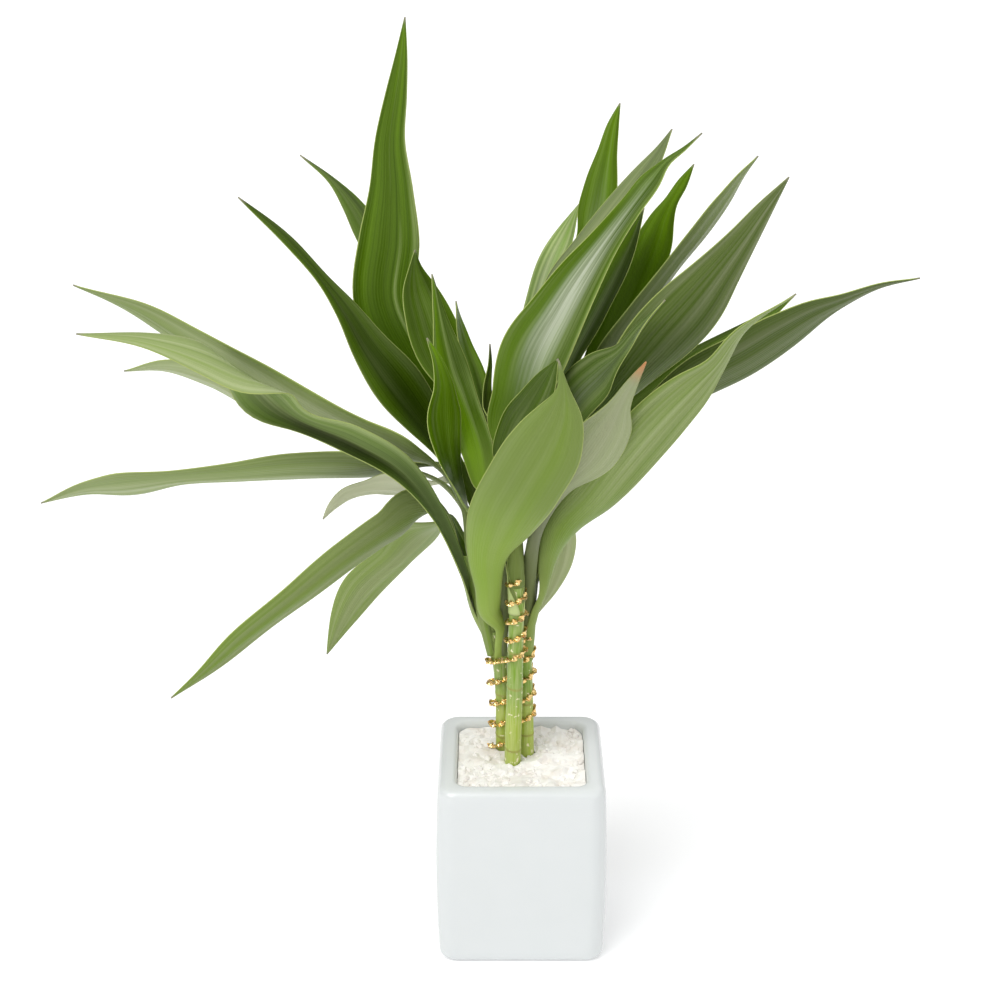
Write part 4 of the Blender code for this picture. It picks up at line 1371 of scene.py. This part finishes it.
@dataclass
class ChipBed:
    """The white stone chips on the growing medium, in millimetres and shares of a chip's size."""

    half: float = 30.7
    top: float = 90.2
    dip: float = 1.6
    rise: float = 1.6
    spacing: float = 3.3
    layers: int = 2
    layer_drop: float = 2.6
    jitter: float = 0.4
    smallest: float = 1.8
    largest: float = 3.0
    depth: tuple[float, float] = (0.8, 1.0)
    flatness: tuple[float, float] = (0.65, 0.9)
    clear_wall: float = 0.6
    clear_cane: float = 0.45
    sunk: float = 0.5
    kinds: int = 8
    cuts: int = 9
    cut_at: tuple[float, float] = (0.55, 0.85)
    seed: int = 5

    def stone(self, draw: random.Random, number: int) -> Item:
        """Breaks one ball into an angular chip.

        Args:
            draw: The source of random values.
            number: The chip's number.

        Returns:
            The chip, about 2 mm across and round the origin.
        """
        select()
        bpy.ops.mesh.primitive_ico_sphere_add(subdivisions=2, radius=MM)
        item = bpy.context.object
        item.name = f"chip_kind_{number}"
        bpy.ops.object.mode_set(mode="EDIT")
        for _ in range(self.cuts):
            normal = Vector([draw.gauss(0, 1) for _ in range(3)]).normalized()
            bpy.ops.mesh.select_all(action="SELECT")
            bpy.ops.mesh.bisect(plane_co=normal * MM * draw.uniform(*self.cut_at), plane_no=normal,
                                use_fill=True, clear_outer=True)
        bpy.ops.object.mode_set(mode="OBJECT")
        return item

    def build(self, finish: Material) -> None:
        """Lays the chips in layers over the bed's relief and hands them over.

        Args:
            finish: The chips' finish.
        """
        draw = random.Random(self.seed)
        kinds = [self.stone(draw, number) for number in range(self.kinds)]
        canes = [cane.at(self.top) for cane in CANES.values()]
        bed = bmesh.new()
        count = int(2 * self.half / self.spacing)
        for layer, i, j in itertools.product(range(self.layers), range(count), range(count)):
            x, y = ((step + 0.5 * (1 + layer) + draw.uniform(-self.jitter, self.jitter))
                    * 2 * self.half / count - self.half for step in (i, j))
            size = draw.uniform(self.smallest, self.largest)
            kind = draw.choice(kinds)
            turn = Euler([draw.uniform(0, math.tau) for _ in range(3)]).to_matrix()
            lift = draw.uniform(0, self.rise)
            out = max(abs(x), abs(y))
            if out > self.half - self.clear_wall * size:
                continue
            if any(math.hypot(x - c.x, y - c.y) < radius + self.clear_cane * size for c, _, radius in canes):
                continue
            z = self.top - self.dip * (1 - (out / self.half) ** 4) - layer * self.layer_drop
            middle = Vector((x, y, z + lift - self.sunk * size)) * MM
            shape = Vector((size, size * draw.uniform(*self.depth), size * draw.uniform(*self.flatness)))
            stone = kind.data.copy()
            for vert in stone.vertices:
                vert.co = turn @ (vert.co * shape) + middle
            bed.from_mesh(stone)
            bpy.data.meshes.remove(stone)
        for kind in kinds:
            bpy.data.objects.remove(kind, do_unlink=True)
        mesh = bpy.data.meshes.new("marble_chips")
        bed.to_mesh(mesh)
        bed.free()
        mesh.materials.append(finish)
        hand_over(link("marble_chips", mesh), "white_stone_chips")


@dataclass
class FineCane:
    """One cane with its leaf scars, from its root up to its growing tip, in millimetres."""

    key: str
    scars: tuple[float, ...]
    around: int = 32
    step: float = 0.7
    scar_rise: float = 0.22
    scar_half: float = 0.5
    scar_tilt: float = 0.7
    scar_turn: float = 1.0
    rib_rise: float = 0.06
    ribs: int = 5
    rib_drift: float = 9.0

    def scar(self, height: float, turn: float) -> float:
        """Nearness to a leaf scar, 0 to 1, at a height and a turn round the cane in radians."""
        height += self.scar_tilt * math.cos(turn - self.scar_turn)
        return max((math.exp(-((height - at) / self.scar_half) ** 2) for at in self.scars), default=0.0)

    def build(self, finish: Material) -> None:
        """Rolls a sheet round the cane's line, raises its scars and hands it over.

        Args:
            finish: The cane's finish.
        """
        cane = CANES[self.key]
        low, high = cane.line[0][2], cane.line[-1][2]
        rows = int((high - low) / self.step)

        def place(side: float, share: float) -> Vector:
            """Places a corner of the rolled sheet.

            Args:
                side: From -1 to 1 round the cane.
                share: From 0 at the root to 1 at the top.

            Returns:
                The corner's place.
            """
            height = low + (high - low) * round(share * rows) / rows
            middle, along, radius = cane.at(height)
            turn = math.pi * side
            out = radius + self.scar_rise * self.scar(height, turn)
            out += self.rib_rise * math.sin(self.ribs * turn + height / self.rib_drift)
            across, up = face_frame(along, 0.0)
            return middle + (across * math.cos(turn) + up * math.sin(turn)) * out

        item = sheet(f"cane_{self.key}_stem", self.around, rows, place)
        marks = []
        for index in range(len(item.data.vertices)):
            row, column = divmod(index, self.around + 1)
            marks.append(self.scar(low + (high - low) * row / rows, math.pi * (2 * column / self.around - 1)))
        mark_points(item, {"scar": marks})
        close_tube(item)
        item.data.materials.append(finish)
        hand_over(item, "green_cane", f"cane_{self.key}")


@dataclass(frozen=True)
class Winding:
    """Turns of wire round one cane: heights in millimetres, sides in degrees."""

    cane: str
    low: float
    high: float
    start: float
    end: float
    loop: float = 0.0


@dataclass
class FoilTie:
    """One foil-covered wire: two crinkled strips twisted round each other, in millimetres."""

    node: str
    windings: tuple[Winding, ...]
    gap: float = 0.3
    wire: float = 0.6
    strip: float = 2.8
    apart: float = 0.22
    foil: float = 0.14
    twist: float = 8.0
    crinkle: float = 0.5
    crinkles: float = 1.5
    strand_shift: float = 9.0
    across: int = 4
    crease: float = 35.0
    points_turn: int = 60
    rows_winding: int = 480

    def route(self) -> list[Vector]:
        """The wire's centre line.

        Returns:
            Its points in millimetres.
        """
        points = []
        for winding in self.windings:
            count = max(2, round((winding.end - winding.start) / 360 * self.points_turn))
            for step in range(count + 1):
                share = step / count
                middle, _, radius = CANES[winding.cane].at(winding.low + (winding.high - winding.low) * share)
                turn = math.radians(winding.start + (winding.end - winding.start) * share)
                reach = radius + self.gap + self.wire
                reach += winding.loop * max(0.0, -math.cos(turn)) ** 4
                points.append(middle + reach * Vector((math.cos(turn), math.sin(turn), 0)))
        return points

    def build(self, finish: Material) -> None:
        """Lays and twists the strips, joins them and hands them over.

        Args:
            finish: The foil's finish.
        """
        rows = self.rows_winding * len(self.windings)
        points = [Vector(point) for point in smooth_route(self.route(), np.linspace(0, 1, rows + 1))]
        runs = lengths(np.array(points))
        strips = []
        for strand in (0, 1):
            def place(side: float, share: float) -> Vector:
                """Places a corner of one twisted strip.

                Args:
                    side: From -1 to 1 across it.
                    share: From 0 to 1 along the wire.

                Returns:
                    The corner's place.
                """
                row = round(share * rows)
                turn = math.tau * runs[row] / self.twist + math.pi * strand
                across, up = face_frame(heading(points, row), turn)
                spot = points[row] * self.crinkles
                spot += Vector((side * self.crinkles, strand * self.strand_shift, 0))
                rise = self.apart + self.crinkle * noise.noise(spot)
                return points[row] + across * side * self.strip / 2 + up * rise

            item = sheet(f"{self.node}_strip_{strand}", self.across, rows, place)
            wall = item.modifiers.new("foil", "SOLIDIFY")
            wall.thickness = self.foil * MM
            wall.offset = 0.0
            apply_all(item)
            bpy.ops.object.shade_smooth_by_angle(angle=math.radians(self.crease))
            strips.append(item)
        select(*strips)
        bpy.ops.object.join()
        strips[0].name = self.node + "_foil"
        strips[0].data.materials.append(finish)
        hand_over(strips[0], "gold_foil_wire", self.node)


@dataclass(frozen=True)
class SoftLight:
    """One wide, even light: where it comes from, how wide it looks (degrees), and its strength."""

    name: str
    source: tuple[float, float, float]
    spread: float
    strength: float


@dataclass
class Studio:
    """A pale floor, soft light and the camera at the photograph's angle, in metres."""

    floor_half: float = 60.0
    paper: float = 0.8
    glow: float = 0.27
    glow_colour: tuple[float, float, float, float] = (0.98, 0.99, 1.0, 1.0)
    matt: float = 0.1
    sky: float = 0.3
    lens: float = 72.0
    sensor: float = 36.0
    lights: tuple[SoftLight, ...] = (
        SoftLight("window", (-0.9, -0.9, 1.9), 40.0, 2.2),
        SoftLight("overhead", (0.3, 1.0, 2.0), 70.0, 0.8),
        SoftLight("fill", (1.2, -1.1, 1.4), 60.0, 0.7),
    )

    def floor(self) -> None:
        """Lays the pale floor, a sheet of paper that is lit from below as well."""
        select()
        bpy.ops.mesh.primitive_plane_add(size=2 * self.floor_half)
        item = bpy.context.object
        item.name = "studio_floor"
        paper = Recipe("backlit_white_paper", 0.7)
        paper.set(Base_Color=(self.paper, self.paper, self.paper, 1.0), Emission_Color=self.glow_colour,
                  Emission_Strength=self.glow, Specular_IOR_Level=self.matt)
        item.data.materials.append(paper.finish)

    def light(self, soft: SoftLight) -> None:
        """Adds one soft light that shines on the plant.

        Args:
            soft: The light.
        """
        data = bpy.data.lights.new(soft.name, "SUN")
        data.angle = math.radians(soft.spread)
        data.energy = soft.strength
        item = link(soft.name, data)
        item.location = soft.source
        item.rotation_euler = (-Vector(soft.source)).to_track_quat("-Z", "Y").to_euler()

    def camera(self) -> None:
        """Sets the camera where the plant was seen from."""
        data = bpy.data.cameras.new("camera")
        data.lens = self.lens
        data.sensor_width = self.sensor
        item = link("camera", data)
        item.location = Vector(VIEW.eye) * MM
        item.rotation_euler = (math.radians(90 - VIEW.look_down), 0, 0)
        bpy.context.scene.camera = item

    def build(self) -> None:
        """Sets up floor, sky, lights and camera."""
        self.floor()
        world = bpy.data.worlds.new("studio")
        world.use_nodes = True
        background = world.node_tree.nodes["Background"]
        background.inputs["Color"].default_value = (1.0, 1.0, 1.0, 1.0)
        # Looked at, the sky is as white as the floor, so no horizon shows.
        looked = add_node(world.node_tree, "ShaderNodeLightPath").outputs["Is Camera Ray"]
        strength = add_node(world.node_tree, "ShaderNodeMapRange", {"Value": looked, "To Min": self.sky})
        world.node_tree.links.new(strength.outputs[0], background.inputs["Strength"])
        bpy.context.scene.world = world
        bpy.context.scene.view_settings.view_transform = "Standard"
        for soft in self.lights:
            self.light(soft)
        self.camera()


OLD_SHEATHS = (
    OldSheath("old_sheath_middle", ((507, 552, 6, 5.5), (505, 600, 6, 5.0), (504, 640, 7, 3.6),
                                    (504, 656, 8, 2.4)), 0.55, 0.3),
    OldSheath("old_sheath_left", ((468, 556, 6, 8.0), (479, 600, 8, 7.0), (488, 640, 9, 5.0),
                                  (491, 656, 9, 3.6)), 1.05),
)


def main() -> None:
    """Builds the plant, its planter and the studio, in that order."""
    logging.basicConfig(level=logging.INFO, format="%(name)s: %(message)s")
    upper = LeafSkin("leaf_upper_skin", "#3a5401", "#638806", "#a8b878", "#7a9a34", groove="#2f4a02",
                     roughness=0.32, vein_share=0.04).build()
    under = LeafSkin("leaf_under_skin", "#769036", "#798a4b", "#b0b98c", "#9aab66", roughness=0.46,
                     vein_depth=0.1, vein_share=0.05, fine_share=0.25, painted_groove_shade_share=0.5,
                     rib_share=0.1).build()
    margin = LeafSkin("leaf_margin", "#93a64e", "#a2b45e", "#9db058", "#9db058").build()
    finishes = upper, under, margin
    counts: dict[str, int] = {}
    for number, leaf in enumerate(LEAVES):
        counts[leaf.cane] = counts.get(leaf.cane, 0) + 1
        node = f"leaf_{leaf.cane}_{counts[leaf.cane]:02d}"
        hand_over(FineLeaf(node, leaf, number).build(finishes), "leaf_green", node)
    for sheath in OLD_SHEATHS:
        hand_over(sheath.build(finishes), "leaf_green")
    bark = CaneBark().build()
    FineCane("left", (98.0, 121.0)).build(bark)
    FineCane("front", (97.5, 131.0, 150.0, 172.0)).build(bark)
    FineCane("right", (101.0, 118.0, 145.0)).build(bark)
    foil = GOLD_FOIL.build()
    FoilTie("wire_tie_left_front", (Winding("left", 92, 139, 180, 215 + 4 * 360, 2.0),
                                    Winding("front", 147, 188, 232, 300 + 4 * 360))).build(foil)
    FoilTie("wire_tie_right", (Winding("right", 108, 154, 200, 300 + 4 * 360),)).build(foil)
    marble = MARBLE.build()
    ChipBed().build(marble)
    for node, finish in (("stone_chips", marble), ("growing_medium", PEAT.build())):
        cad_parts[node].data.materials.clear()
        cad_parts[node].data.materials.append(finish)
    Planter().build(GLAZE.build())
    Studio().build()


if __name__ == "__main__":
    main()
